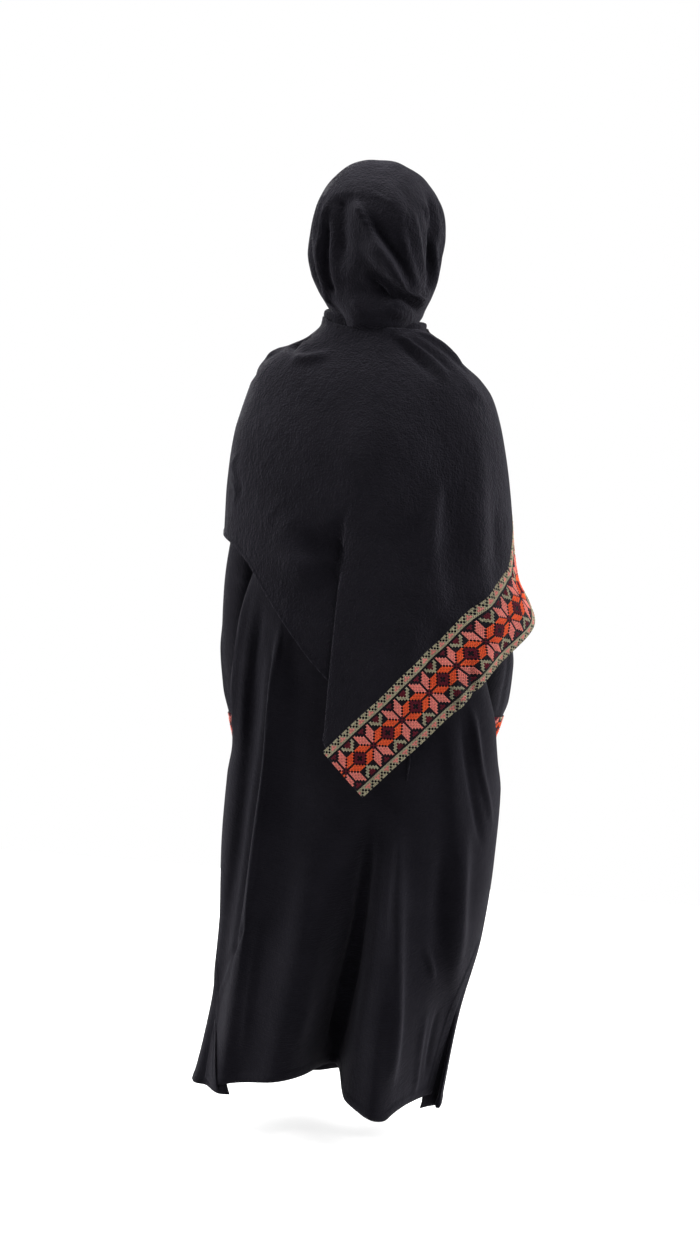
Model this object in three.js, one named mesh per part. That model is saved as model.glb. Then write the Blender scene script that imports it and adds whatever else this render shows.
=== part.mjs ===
// Prayer abaya with its long head scarf, as worn: a wide A-line gown of two panels with loose
// sleeves, and a scarf that covers the head, goes round the neck and falls over the back.
// Millimetres, +Z up.  The wearer faces -Y, the wearer's left is +X, and the origin is the middle
// of the shoulders at the height of the nape.  Every piece of cloth is a thin wall of its own.
import * as THREE from 'three';

// ---- Driving dimensions -----------------------------------------------------------------
const CLOTH = 1.6;             // wall of every piece of cloth
const SEAM = 0.9;              // space left between two pieces at a seam
const ON_TOP = 0.9;            // space under a band that lies on a panel
const ROUNDNESS = 2.3;         // exponent of the body's rounded sections: 2 is an ellipse

const HEM_BAND = 100;          // width of the scarf's cross-stitch end band
const CUFF_BAND = 62;          // width of the cuffs' cross-stitch bands
const NECK_EDGE = 10;          // width of the gown's bound neck edge
const NECK_LEAN = 0.25;        // how far that edge leans in as it rises
const NECK_OVERLAP = 2;        // how far it starts below the panels' upper edge

const DEG = Math.PI / 180;

// ---- Tables: each row is one section, from the top down ------------------------------------
// left, right, back and front are reaches from the upright axis.  Angles run from the middle
// of the back (0) by the wearer's left (90) to the middle of the front (180).

const GOWN = [
  { z: 0, left: 62, right: 62, back: 56, front: 54, armLeft: 0, armRight: 0, armAngle: 95 },
  { z: -12, left: 72, right: 72, back: 62, front: 58, armLeft: 0, armRight: 0, armAngle: 95 },
  { z: -30, left: 105, right: 105, back: 71, front: 68, armLeft: 0, armRight: 0, armAngle: 95 },
  { z: -50, left: 145, right: 143, back: 83, front: 79, armLeft: 0, armRight: 0, armAngle: 95 },
  { z: -72, left: 170, right: 168, back: 94, front: 89, armLeft: 0, armRight: 0, armAngle: 95 },
  { z: -100, left: 177, right: 178, back: 106, front: 101, armLeft: 0, armRight: 0, armAngle: 95 },
  { z: -200, left: 182, right: 186, back: 125, front: 128, armLeft: 0, armRight: 0, armAngle: 95 },
  { z: -292, left: 182, right: 190, back: 130, front: 138, armLeft: 3, armRight: 3, armAngle: 92 },
  { z: -318, left: 186, right: 196, back: 131, front: 139, armLeft: 30, armRight: 30, armAngle: 88 },
  { z: -350, left: 196, right: 207, back: 131, front: 140, armLeft: 58, armRight: 58, armAngle: 90 },
  { z: -450, left: 214, right: 230, back: 133, front: 137, armLeft: 68, armRight: 74, armAngle: 100 },
  { z: -560, left: 219, right: 245, back: 138, front: 134, armLeft: 68, armRight: 80, armAngle: 111 },
  { z: -650, left: 212, right: 254, back: 141, front: 134, armLeft: 64, armRight: 82, armAngle: 124 },
  { z: -700, left: 207, right: 253, back: 142, front: 137, armLeft: 54, armRight: 44, armAngle: 128 },
  { z: -750, left: 211, right: 253, back: 142, front: 141, armLeft: 12, armRight: 6, armAngle: 130 },
  { z: -870, left: 213, right: 249, back: 139, front: 148, armLeft: 0, armRight: 0, armAngle: 130 },
  { z: -995, left: 212, right: 234, back: 132, front: 157, armLeft: 0, armRight: 0, armAngle: 130 },
  { z: -1120, left: 219, right: 206, back: 122, front: 166, armLeft: 0, armRight: 0, armAngle: 130 },
  { z: -1200, left: 232, right: 193, back: 112, front: 171, armLeft: 0, armRight: 0, armAngle: 130 },
  { z: -1310, left: 256, right: 176, back: 100, front: 178, armLeft: 0, armRight: 0, armAngle: 130 },
];
const ARM_SPREAD = 32;         // half the width, in degrees, of the place where an arm presses

// The angle at which each panel's side edge lies: 90 at the side seam, less below the slit.
const PANEL_EDGES = [
  { z: 0, backLeft: 90, backRight: 90, frontLeft: 90, frontRight: 90 },
  { z: -985, backLeft: 90, backRight: 90, frontLeft: 90, frontRight: 90 },
  { z: -1040, backLeft: 88, backRight: 84, frontLeft: 89, frontRight: 89 },
  { z: -1120, backLeft: 75, backRight: 75, frontLeft: 87, frontRight: 88 },
  { z: -1200, backLeft: 57, backRight: 67, frontLeft: 85, frontRight: 86 },
  { z: -1310, backLeft: 40, backRight: 60, frontLeft: 82, frontRight: 82 },
];
const SEAM_ANGLE = 0.2;        // what each panel stops short of the side seam, in degrees

const ARMHOLE = { z: -182, half: 110, depth: 60, y: -4 };
const ARMHOLE_MARGIN = 1.2;    // space kept round the sleeve's first ring

// The hem's height along each panel, by its share from the wearer's right to the left.
const BACK_HEM = [
  { share: -1, z: -1276 },
  { share: -0.8, z: -1285 },
  { share: -0.58, z: -1291 },
  { share: -0.38, z: -1297 },
  { share: -0.26, z: -1276 },
  { share: -0.12, z: -1245 },
  { share: 0.02, z: -1247 },
  { share: 0.3, z: -1257 },
  { share: 0.62, z: -1268 },
  { share: 1, z: -1276 },
];
const FRONT_HEM = [
  { share: -1, z: -1297 },
  { share: -0.5, z: -1292 },
  { share: 0, z: -1286 },
  { share: 1, z: -1284 },
];

// Folds of the gown: where each lies at three heights, and how far it stands out (+) or in (-).
const BACK_FOLDS = [
  { top: -430, mid: -850, end: -1290, xTop: 102, xMid: 131, xEnd: 186, width: 19, deep: 15, ripe: -640 },
  { top: -430, mid: -850, end: -1290, xTop: 134, xMid: 166, xEnd: 222, width: 17, deep: -18, ripe: -640 },
  { top: -700, mid: -966, end: -1251, xTop: -72, xMid: -37, xEnd: 14, width: 34, deep: -150, ripe: -1300 },
  { top: -740, mid: -1000, end: -1290, xTop: -100, xMid: -106, xEnd: -88, width: 32, deep: 34, ripe: -1200 },
  { top: -960, mid: -1100, end: -1290, xTop: -214, xMid: -196, xEnd: -162, width: 30, deep: -62, ripe: -1290 },
  { top: -600, mid: -720, end: -860, xTop: -176, xMid: -192, xEnd: -205, width: 16, deep: 9, ripe: -700 },
  { top: -820, mid: -1000, end: -1290, xTop: 40, xMid: 58, xEnd: 96, width: 26, deep: 10, ripe: -1150 },
];
const FRONT_FOLDS = [
  { top: -330, mid: -800, end: -1290, xTop: 78, xMid: 96, xEnd: 132, width: 24, deep: 20, ripe: -1000 },
  { top: -360, mid: -820, end: -1290, xTop: 36, xMid: 44, xEnd: 62, width: 26, deep: -34, ripe: -1200 },
  { top: -300, mid: -780, end: -1290, xTop: -20, xMid: -24, xEnd: -14, width: 28, deep: 24, ripe: -1100 },
  { top: -420, mid: -860, end: -1290, xTop: -76, xMid: -84, xEnd: -82, width: 27, deep: -40, ripe: -1250 },
  { top: -520, mid: -900, end: -1290, xTop: -136, xMid: -146, xEnd: -138, width: 24, deep: 18, ripe: -1100 },
  { top: -560, mid: -900, end: -1290, xTop: 150, xMid: 168, xEnd: 196, width: 24, deep: -26, ripe: -1200 },
];

// Sleeves: the outer and the inner point of each ring, its middle and its half depth front to back.
const LEFT_SLEEVE = [
  { outX: 187, outZ: -96, inX: 176, inZ: -308, y: -4, depth: 62 },
  { outX: 205, outZ: -160, inX: 170, inZ: -340, y: -5, depth: 61 },
  { outX: 218, outZ: -250, inX: 162, inZ: -390, y: -7, depth: 60 },
  { outX: 229, outZ: -345, inX: 160, inZ: -440, y: -12, depth: 58 },
  { outX: 241, outZ: -440, inX: 162, inZ: -496, y: -26, depth: 57 },
  { outX: 245, outZ: -530, inX: 165, inZ: -556, y: -50, depth: 55 },
  { outX: 243, outZ: -612, inX: 164, inZ: -616, y: -82, depth: 53 },
  { outX: 228, outZ: -708, inX: 150, inZ: -684, y: -120, depth: 50 },
];
const RIGHT_SLEEVE = [
  { outX: 188, outZ: -96, inX: 183, inZ: -308, y: -4, depth: 62 },
  { outX: 208, outZ: -160, inX: 178, inZ: -340, y: -5, depth: 61 },
  { outX: 225, outZ: -250, inX: 173, inZ: -390, y: -7, depth: 60 },
  { outX: 239, outZ: -345, inX: 174, inZ: -440, y: -12, depth: 58 },
  { outX: 248, outZ: -440, inX: 178, inZ: -496, y: -24, depth: 57 },
  { outX: 256, outZ: -530, inX: 184, inZ: -552, y: -46, depth: 55 },
  { outX: 255, outZ: -600, inX: 184, inZ: -602, y: -74, depth: 53 },
  { outX: 240, outZ: -684, inX: 170, inZ: -658, y: -108, depth: 50 },
];

// The scarf over the shoulders, arms and back.
const CAPE = [
  { z: 40, left: 88, right: 86, back: 59, front: 99 },
  { z: 14, left: 91, right: 90, back: 64, front: 100 },
  { z: -7, left: 112, right: 113, back: 70, front: 102 },
  { z: -27, left: 151, right: 134, back: 80, front: 104 },
  { z: -44, left: 180, right: 153, back: 90, front: 109 },
  { z: -66, left: 198, right: 180, back: 103, front: 115 },
  { z: -95, left: 207, right: 202, back: 116, front: 124 },
  { z: -136, left: 219, right: 217, back: 129, front: 136 },
  { z: -172, left: 228, right: 226, back: 138, front: 146 },
  { z: -222, left: 234, right: 236, back: 146, front: 155 },
  { z: -282, left: 237, right: 245, back: 152, front: 159 },
  { z: -342, left: 237, right: 252, back: 156, front: 159 },
  { z: -392, left: 236, right: 262, back: 159, front: 158 },
  { z: -434, left: 236, right: 284, back: 161, front: 158 },
  { z: -470, left: 234, right: 298, back: 163, front: 158 },
  { z: -560, left: 230, right: 286, back: 167, front: 158 },
  { z: -760, left: 226, right: 268, back: 170, front: 158 },
];

// The deep pleat of the back fall: the place of its fold edge, and how far the cloth goes under.
const PLEAT = [
  { z: -230, x: -15, under: 0 },
  { z: -290, x: -1, under: 3 },
  { z: -330, x: 9, under: 8 },
  { z: -362, x: 12, under: 14 },
  { z: -395, x: 14, under: 24 },
  { z: -436, x: 17, under: 36 },
  { z: -535, x: 23, under: 53 },
  { z: -690, x: 26, under: 68 },
  { z: -800, x: 27, under: 70 },
];
const PLEAT_ROLL = 2.6;        // radius of the pleat's two turns
const PLEAT_SPREAD = 7;         // how far its columns lie apart in all where the cloth is flat
const PLEAT_TURNED = 15;       // depth at which its turns are fully made
const PLEAT_FADE = 140;        // how far to the left the cloth comes back out to the cape's form

// Soft folds of the back fall, by the angle at three heights.
const FALL_FOLDS = [
  { top: -220, mid: -330, end: -470, aTop: -37, aMid: -31, aEnd: -28, width: 4, deep: 6, ripe: -260 },
  { top: -220, mid: -330, end: -470, aTop: -43, aMid: -37, aEnd: -34, width: 4, deep: -7, ripe: -260 },
  { top: -120, mid: -330, end: -620, aTop: -58, aMid: -52, aEnd: -47, width: 7, deep: 7, ripe: -240 },
  { top: 5, mid: -30, end: -110, aTop: -38, aMid: -58, aEnd: -64, width: 8, deep: 7, ripe: -10 },
  { top: 0, mid: -40, end: -90, aTop: 62, aMid: 72, aEnd: 84, width: 8, deep: -8, ripe: -20 },
  { top: -420, mid: -540, end: -640, aTop: -53, aMid: -44, aEnd: -38, width: 5, deep: 11, ripe: -560 },
];

// The end band's lower line on the back fall, from the scarf's corner round the right arm.
const BAND_LINE = [
  { share: 0, angle: -8, z: -755 },
  { share: 0.095, angle: -17.7, z: -704 },
  { share: 0.195, angle: -28.7, z: -653 },
  { share: 0.28, angle: -38.3, z: -607 },
  { share: 0.36, angle: -47.7, z: -567 },
  { share: 0.43, angle: -57.5, z: -528 },
  { share: 0.49, angle: -69, z: -498 },
  { share: 0.56, angle: -84, z: -468 },
  { share: 0.66, angle: -100, z: -428 },
  { share: 0.77, angle: -115, z: -380 },
  { share: 0.88, angle: -128, z: -332 },
  { share: 1, angle: -140, z: -282 },
];
// The fall's lower edge on the left, and down to the fold edge, by the columns of the fall.
const LONG_EDGE = [
  { column: 0, z: -318 },
  { column: 0.16, z: -330 },
  { column: 0.3, z: -342 },
  { column: 0.51, z: -359 },
  { column: 0.625, z: -387 },
  { column: 0.73, z: -446 },
  { column: 0.84, z: -514 },
  { column: 0.88, z: -540 },
  { column: 1, z: -600 },
  { column: 2, z: -677 },
];
// The fall's upper edge, round the neck and over the right shoulder.
const FALL_TOP = [
  { angle: 118, z: 16 },
  { angle: 70, z: 14 },
  { angle: 20, z: 10 },
  { angle: -40, z: 10 },
  { angle: -80, z: 6 },
  { angle: -94, z: -10 },
  { angle: -108, z: -42 },
  { angle: -122, z: -112 },
  { angle: -140, z: -214 },
];
const FALL_LEFT_ANGLE = 118;

// The scarf over the chest, under the right arm's flap.
const FRONT_WRAP = [
  { angle: 118, top: 16, fall: -318, tuck: 0 },
  { angle: 135, top: 17, fall: -306, tuck: 1 },
  { angle: 155, top: 14, fall: -286, tuck: 4 },
  { angle: 180, top: 8, fall: -250, tuck: 7 },
  { angle: 205, top: 12, fall: -204, tuck: 8 },
  { angle: 228, top: 18, fall: -150, tuck: 9 },
  { angle: 246, top: 16, fall: -92, tuck: 9 },
];
const WRAP_START = 118.4;      // the angle at which it carries the fall on, over the left shoulder
const TUCKED = -45;            // height below which the wrap lies under the right arm's flap

// The scarf over the head, round an axis through the crown.
const HOOD_AXIS = { x: 10, y: -30 };
const HOOD = [
  { z: 293, left: 0, right: 0, back: 0, front: 0 },
  { z: 289, left: 32, right: 28, back: 30, front: 26 },
  { z: 277, left: 59, right: 56, back: 54, front: 48 },
  { z: 258, left: 80, right: 80, back: 75, front: 66 },
  { z: 234, left: 94, right: 98, back: 93, front: 82 },
  { z: 208, left: 105, right: 108, back: 103, front: 90 },
  { z: 175, left: 111, right: 114, back: 109, front: 95 },
  { z: 134, left: 113, right: 110, back: 112, front: 96 },
  { z: 98, left: 107, right: 106, back: 108, front: 92 },
  { z: 70, left: 94, right: 97, back: 99, front: 82 },
  { z: 46, left: 78, right: 84, back: 87, front: 64 },
  { z: 33, left: 65.5, right: 76, back: 74, front: 48.8 },
  { z: 22, left: 55.2, right: 66, back: 64, front: 39.4 },
  { z: 6, left: 46, right: 56, back: 58, front: 34 },
];
const HOOD_FOLDS = [
  { top: 250, mid: 160, end: 50, aTop: 62, aMid: 66, aEnd: 50, width: 6, deep: -9, ripe: 200 },
  { top: 250, mid: 160, end: 50, aTop: 50, aMid: 52, aEnd: 38, width: 6, deep: 6, ripe: 200 },
  { top: 262, mid: 160, end: 40, aTop: -12, aMid: -34, aEnd: -52, width: 9, deep: 8, ripe: 200 },
  { top: 250, mid: 160, end: 40, aTop: -62, aMid: -66, aEnd: -68, width: 6, deep: -10, ripe: 200 },
  { top: 120, mid: 70, end: 30, aTop: 20, aMid: -18, aEnd: -46, width: 10, deep: 7, ripe: 70 },
];
const FACE = { half: 47, brow: 214, cheek: 104 };   // half angle of the face opening, its heights
const HOOD_BOTTOM = 8;

// The roll of cloth round the neck: where its two legs stand and how high it rises.
const NECK_ROLL = [
  { angle: -180, inner: 78, outer: 88, top: 14 },
  { angle: -120, inner: 76, outer: 87, top: 22 },
  { angle: -80, inner: 69, outer: 82, top: 24 },
  { angle: -25, inner: 47, outer: 57, top: 17 },
  { angle: 20, inner: 46, outer: 56, top: 17 },
  { angle: 60, inner: 61, outer: 75, top: 24 },
  { angle: 90, inner: 74, outer: 88.5, top: 31 },
  { angle: 110, inner: 77, outer: 89, top: 29 },
  { angle: 130, inner: 81, outer: 92, top: 26 },
  { angle: 180, inner: 78, outer: 88, top: 14 },
];
const NECK_ROLL_LEG = 11.4;   // how far both legs go down below the rounded top

// ---- Helpers ----------------------------------------------------------------------------
const lerp = (a, b, t) => a + (b - a) * t;
const clamp = (t, low, high) => Math.min(high, Math.max(low, t));
const smooth = (t) => { const k = clamp(t, 0, 1); return k * k * (3 - 2 * k); };
const signedPower = (v, p) => Math.sign(v) * Math.abs(v) ** p;
const steps = (from, to, count) => Array.from({ length: count + 1 }, (_, i) => lerp(from, to, i / count));

// The value of one column of a table at `at`, on a curve through the rows that never swings
// past them.
function read(table, key, column, at) {
  const rising = table[table.length - 1][key] > table[0][key];
  const rows = rising ? table : [...table].reverse();
  if (at <= rows[0][key]) return rows[0][column];
  const last = rows.length - 1;
  if (at >= rows[last][key]) return rows[last][column];
  let i = 0;
  while (rows[i + 1][key] < at) i += 1;
  const slope = (k) => (rows[k + 1][column] - rows[k][column]) / (rows[k + 1][key] - rows[k][key]);
  const tangent = (k) => {
    if (k === 0) return slope(0);
    if (k === last) return slope(last - 1);
    const [a, b] = [slope(k - 1), slope(k)];
    return a * b <= 0 ? 0 : (2 * a * b) / (a + b);
  };
  const span = rows[i + 1][key] - rows[i][key];
  const t = (at - rows[i][key]) / span;
  const [t2, t3] = [t * t, t * t * t];
  return (2 * t3 - 3 * t2 + 1) * rows[i][column] + (t3 - 2 * t2 + t) * span * tangent(i)
    + (3 * t2 - 2 * t3) * rows[i + 1][column] + (t3 - t2) * span * tangent(i + 1);
}

// A point on a rounded section: superellipse quarters, each with its own reaches.
function onSection(table, angle, z) {
  const s = Math.sin(angle * DEG);
  const c = Math.cos(angle * DEG);
  const side = read(table, 'z', s > 0 ? 'left' : 'right', z);
  const deep = read(table, 'z', c > 0 ? 'back' : 'front', z);
  return new THREE.Vector3(side * signedPower(s, 2 / ROUNDNESS), deep * signedPower(c, 2 / ROUNDNESS), z);
}

// The angle of a point that lies on, or just off, a section.
function angleOf(table, point) {
  const side = read(table, 'z', point.x > 0 ? 'left' : 'right', point.z);
  const deep = read(table, 'z', point.y > 0 ? 'back' : 'front', point.z);
  const s = signedPower(point.x / side, ROUNDNESS / 2);
  const c = signedPower(point.y / deep, ROUNDNESS / 2);
  return Math.atan2(s, c) / DEG;
}

// The angle at which a section's back reaches sideways to x.
function angleAt(table, x, z) {
  const side = read(table, 'z', x > 0 ? 'left' : 'right', z);
  return Math.sign(x) * Math.asin(clamp(Math.abs(x) / side, 0, 1) ** (ROUNDNESS / 2)) / DEG;
}

function movedOut(point, distance) {
  const away = new THREE.Vector3(point.x, point.y, 0).normalize();
  return point.clone().addScaledVector(away, distance);
}

// How much of a fold there is at a height: nothing above its top, all of it below `ripe`.
const ripeness = (fold, z) => smooth((fold.top - z) / (fold.top - fold.ripe));

// The place of a fold at a height, on a line bent at its middle.
function foldPlace(fold, height, [top, mid, end]) {
  const z = clamp(height, fold.end, fold.top);
  if (z > fold.mid) return lerp(top, mid, (fold.top - z) / (fold.top - fold.mid));
  return lerp(mid, end, (fold.mid - z) / (fold.mid - fold.end));
}

const gownFoldPlace = (fold, z) => foldPlace(fold, z, [fold.xTop, fold.xMid, fold.xEnd]);

function gownFolds(folds, x, z) {
  return folds.reduce((sum, fold) => {
    const away = (x - gownFoldPlace(fold, z)) / fold.width;
    return sum + fold.deep * ripeness(fold, z) * Math.exp(-away * away);
  }, 0);
}

// Folds placed by angle, which fade out over the last fifth of their height.
function angleFolds(folds, angle, z) {
  return folds.reduce((sum, fold) => {
    const away = (angle - foldPlace(fold, z, [fold.aTop, fold.aMid, fold.aEnd])) / fold.width;
    const fade = smooth((z - fold.end) / (0.2 * (fold.top - fold.end)));
    return sum + fold.deep * ripeness(fold, z) * fade * Math.exp(-away * away);
  }, 0);
}

// A closed wall of cloth.  `at(u, v)` gives the outer face, u running from the wearer's left
// by the back to the right and v down; the inner face is `wall` further in.  A round piece is
// joined to itself along u, and a capped one starts at a single point.
function clothWall(at, us, vs, { wall = CLOTH, round = false, capped = false } = {}) {
  const grid = vs.map((v) => us.map((u) => at(u, v)));
  const [rows, cols] = [vs.length, us.length];
  const next = (j) => (round ? (j + 1) % cols : Math.min(j + 1, cols - 1));
  const before = (j) => (round ? (j - 1 + cols) % cols : Math.max(j - 1, 0));
  const inner = grid.map((row, i) => row.map((point, j) => {
    const along = grid[i][next(j)].clone().sub(grid[i][before(j)]);
    const down = grid[Math.min(i + 1, rows - 1)][j].clone().sub(grid[Math.max(i - 1, 0)][j]);
    const out = capped && i === 0 ? new THREE.Vector3(0, 0, 1) : down.cross(along).normalize();
    return point.clone().addScaledVector(out, -wall);
  }));
  const positions = [];
  const number = (points) => points.map((row, i) => {
    const tip = positions.length / 3;
    return row.map((point, j) => {
      if (capped && i === 0 && j > 0) return tip;
      positions.push(point.x, point.y, point.z);
      return positions.length / 3 - 1;
    });
  });
  const [front, rear] = [number(grid), number(inner)];
  const index = [];
  const quad = (a, b, c, d) => {
    if (a !== b && b !== c && a !== c) index.push(a, b, c);
    if (a !== c && c !== d && a !== d) index.push(a, c, d);
  };
  const lastCol = round ? cols : cols - 1;
  for (let i = 0; i < rows - 1; i += 1) {
    for (let j = 0; j < lastCol; j += 1) {
      const k = next(j);
      quad(front[i][j], front[i + 1][j], front[i + 1][k], front[i][k]);
      quad(rear[i][j], rear[i][k], rear[i + 1][k], rear[i + 1][j]);
    }
  }
  const e = rows - 1;
  for (let j = 0; j < lastCol; j += 1) {
    const k = next(j);
    if (!capped) quad(front[0][j], front[0][k], rear[0][k], rear[0][j]);
    quad(front[e][j], rear[e][j], rear[e][k], front[e][k]);
  }
  if (!round) {
    const r = cols - 1;
    for (let i = 0; i < rows - 1; i += 1) {
      quad(front[i][0], rear[i][0], rear[i + 1][0], front[i + 1][0]);
      quad(front[i][r], front[i + 1][r], rear[i + 1][r], rear[i][r]);
    }
  }
  const geometry = new THREE.BufferGeometry();
  geometry.setAttribute('position', new THREE.Float32BufferAttribute(positions, 3));
  geometry.setIndex(index);
  geometry.computeVertexNormals();
  return geometry;
}

// Heights down a column: close together over the shoulder's curve, then even to the end.
const SHOULDER = [
  { t: 0, drop: 0 },
  { t: 0.06, drop: 15 },
  { t: 0.12, drop: 32 },
  { t: 0.18, drop: 50 },
  { t: 0.24, drop: 72 },
  { t: 0.31, drop: 108 },
  { t: 0.38, drop: 160 },
];
const SHOULDER_SHARE = 0.45;   // the most of a short column that the shoulder's steps take

function heightAt(top, low, t) {
  const foot = SHOULDER[SHOULDER.length - 1];
  const scale = Math.min(1, SHOULDER_SHARE * (top - low) / foot.drop);
  if (t >= foot.t) return lerp(top - scale * foot.drop, low, (t - foot.t) / (1 - foot.t));
  const i = SHOULDER.findIndex((row) => row.t > t) - 1;
  const [a, b] = [SHOULDER[i], SHOULDER[i + 1]];
  return top - scale * lerp(a.drop, b.drop, (t - a.t) / (b.t - a.t));
}

const rowsDown = (count) => [
  ...SHOULDER.map((row) => row.t),
  ...steps(SHOULDER[SHOULDER.length - 1].t, 1, count).slice(1),
];

// ---- Gown -------------------------------------------------------------------------------
// The gown's body at an angle and height, pressed in at the sides by the arms and folded.
function gownBody(angle, z) {
  const point = onSection(GOWN, angle, z);
  const fromArm = (Math.abs(angle) - read(GOWN, 'z', 'armAngle', z)) / ARM_SPREAD;
  const press = read(GOWN, 'z', angle > 0 ? 'armLeft' : 'armRight', z);
  point.x -= Math.sign(angle) * press * Math.exp(-fromArm * fromArm);
  const facing = Math.cos(angle * DEG);
  if (facing > 0) point.y += gownFolds(BACK_FOLDS, point.x, z) * smooth(facing * 4);
  else point.y -= gownFolds(FRONT_FOLDS, point.x, z) * smooth(-facing * 4);
  return point;
}

// Half the armhole's length along Y at a height.
function armholeHalf(z, margin) {
  const k = (z - ARMHOLE.z) / (ARMHOLE.half + margin);
  return Math.abs(k) < 1 ? (ARMHOLE.depth + margin) * Math.sqrt(1 - k * k) : 0;
}

// A panel's side edge, as an angle from the panel's middle: at the seam, round the armhole,
// and drawn back from the seam along the slit.
function panelEdge(side, face, z) {
  const column = face + (side > 0 ? 'Left' : 'Right');
  const seam = read(PANEL_EDGES, 'z', column, z) - SEAM_ANGLE;
  const half = armholeHalf(z, ARMHOLE_MARGIN);
  if (half === 0) return seam;
  const reach = half + (face === 'back' ? ARMHOLE.y : -ARMHOLE.y);
  const deep = read(GOWN, 'z', face, z);
  return Math.min(seam, Math.acos(clamp(reach / deep, 0, 1) ** (ROUNDNESS / 2)) / DEG);
}

const neckline = (angle) => lerp(-8, -64, smooth((Math.abs(angle) - 40) / 140));

// The back's columns follow its folds: each guide ties a share of the panel to a fold, or to
// a place beside it.
const BACK_GUIDES = [
  { share: 0.78, fold: 1, beside: 0 },
  { share: 0.62, fold: 0, beside: 0 },
  { share: 0.02, fold: 2, beside: 45 },
  { share: -0.12, fold: 2, beside: 0 },
  { share: -0.26, fold: 2, beside: -45 },
  { share: -0.38, fold: 3, beside: -14 },
];
const GUIDED = -430;           // the height at which the guides start

function backAngle(share, z) {
  const from = Math.min(z, GUIDED);
  const guides = BACK_GUIDES.map((guide) => ({
    share: guide.share,
    angle: angleAt(GOWN, gownFoldPlace(BACK_FOLDS[guide.fold], from) + guide.beside, from),
  }));
  const edges = [
    { share: 1, angle: panelEdge(1, 'back', z) },
    ...guides,
    { share: -1, angle: -panelEdge(-1, 'back', z) },
  ];
  const i = Math.min(edges.findIndex((row) => row.share <= share), edges.length - 1);
  if (i <= 0) return edges[0].angle;
  const [a, b] = [edges[i - 1], edges[i]];
  return lerp(a.angle, b.angle, (a.share - share) / (a.share - b.share));
}

// Share 1 is the panel's edge on the wearer's left, share -1 on the right.
function backPanel(share, t) {
  const z = heightAt(neckline(share * 90), read(BACK_HEM, 'share', 'z', share), t);
  return gownBody(backAngle(share, z), z);
}

function frontPanel(share, t) {
  const z = heightAt(neckline(180 - Math.abs(share) * 90), read(FRONT_HEM, 'share', 'z', share), t);
  const fromMiddle = panelEdge(share, 'front', z) * Math.abs(share);
  return gownBody((180 - fromMiddle) * (share < 0 ? -1 : 1), z);
}

const backShares = [
  ...steps(1, 0.78, 2), ...steps(0.78, 0.62, 2).slice(1), ...steps(0.62, 0.02, 5).slice(1),
  ...steps(0.02, -0.26, 4).slice(1), ...steps(-0.26, -0.38, 1).slice(1), ...steps(-0.38, -1, 5).slice(1),
];

// Rows of both panels: the shoulder's, then levels that catch the underarm and the arms' press.
const GOWN_LEVELS = [-230, -292, -320, -352, -450, -560, -650, -705, -760, -880, -1000, -1120, -1200];
const SHOULDER_FOOT = -174;    // height of the last of the shoulder's rows, at the sides
const MEAN_HEM = -1276;
const lastShoulder = SHOULDER[SHOULDER.length - 1];
const gownRows = [
  ...SHOULDER.map((row) => row.t),
  ...GOWN_LEVELS.map((z) => lerp(lastShoulder.t, 1, (z - SHOULDER_FOOT) / (MEAN_HEM - SHOULDER_FOOT))),
  1,
];

const gownBack = () => clothWall(backPanel, backShares, gownRows);
const gownFront = () => clothWall(frontPanel, steps(-1, 1, 15), gownRows);

// The sleeve's first ring lies on the armhole; the others stand between their two points.
function sleeveRing(side, table, ring, turn) {
  const [c, s] = [Math.cos(turn), Math.sin(turn)];
  if (ring < 0) {
    const [y, z] = [ARMHOLE.y + s * ARMHOLE.depth, ARMHOLE.z + c * ARMHOLE.half];
    const deep = read(GOWN, 'z', y > 0 ? 'back' : 'front', z);
    const reach = read(GOWN, 'z', side > 0 ? 'left' : 'right', z);
    const across = reach * (1 - (Math.abs(y) / deep) ** ROUNDNESS) ** (1 / ROUNDNESS);
    return new THREE.Vector3(side * (across + SEAM), y, z);
  }
  const at = (column) => read(table.map((row, i) => ({ ...row, ring: i })), 'ring', column, ring);
  const outward = (1 + c) / 2;
  return new THREE.Vector3(
    side * lerp(at('inX'), at('outX'), outward),
    at('y') + s * at('depth'),
    lerp(at('inZ'), at('outZ'), outward),
  );
}

const sleeveTurns = steps(0, 2 * Math.PI, 16).slice(0, -1);
const sleeveTable = (side) => (side > 0 ? LEFT_SLEEVE : RIGHT_SLEEVE);

// The ring at which the cuff band starts, one band's width above the sleeve's end.
function cuffStart(table) {
  const [upper, lower] = table.slice(-2);
  const length = Math.hypot(lower.outX - upper.outX, lower.outZ - upper.outZ, lower.y - upper.y);
  return table.length - 1 - CUFF_BAND / length;
}

function sleeve(side) {
  const table = sleeveTable(side);
  const rings = [-1, ...table.map((_, i) => i).slice(0, -1), cuffStart(table), table.length - 1];
  const around = (turn, ring) => sleeveRing(side, table, ring, side * turn);
  return clothWall(around, sleeveTurns, rings, { round: true });
}

// The cuff band lies round the last part of the sleeve, moved out from its points.
function cuff(side) {
  const table = sleeveTable(side);
  const around = (turn, ring) => {
    const point = sleeveRing(side, table, ring, side * turn);
    const behind = sleeveRing(side, table, ring, Math.PI);
    const middle = sleeveRing(side, table, ring, 0).add(behind).multiplyScalar(0.5);
    return point.addScaledVector(point.clone().sub(middle).normalize(), CLOTH + ON_TOP);
  };
  return clothWall(around, sleeveTurns, [cuffStart(table), table.length - 1], { round: true });
}

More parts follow.
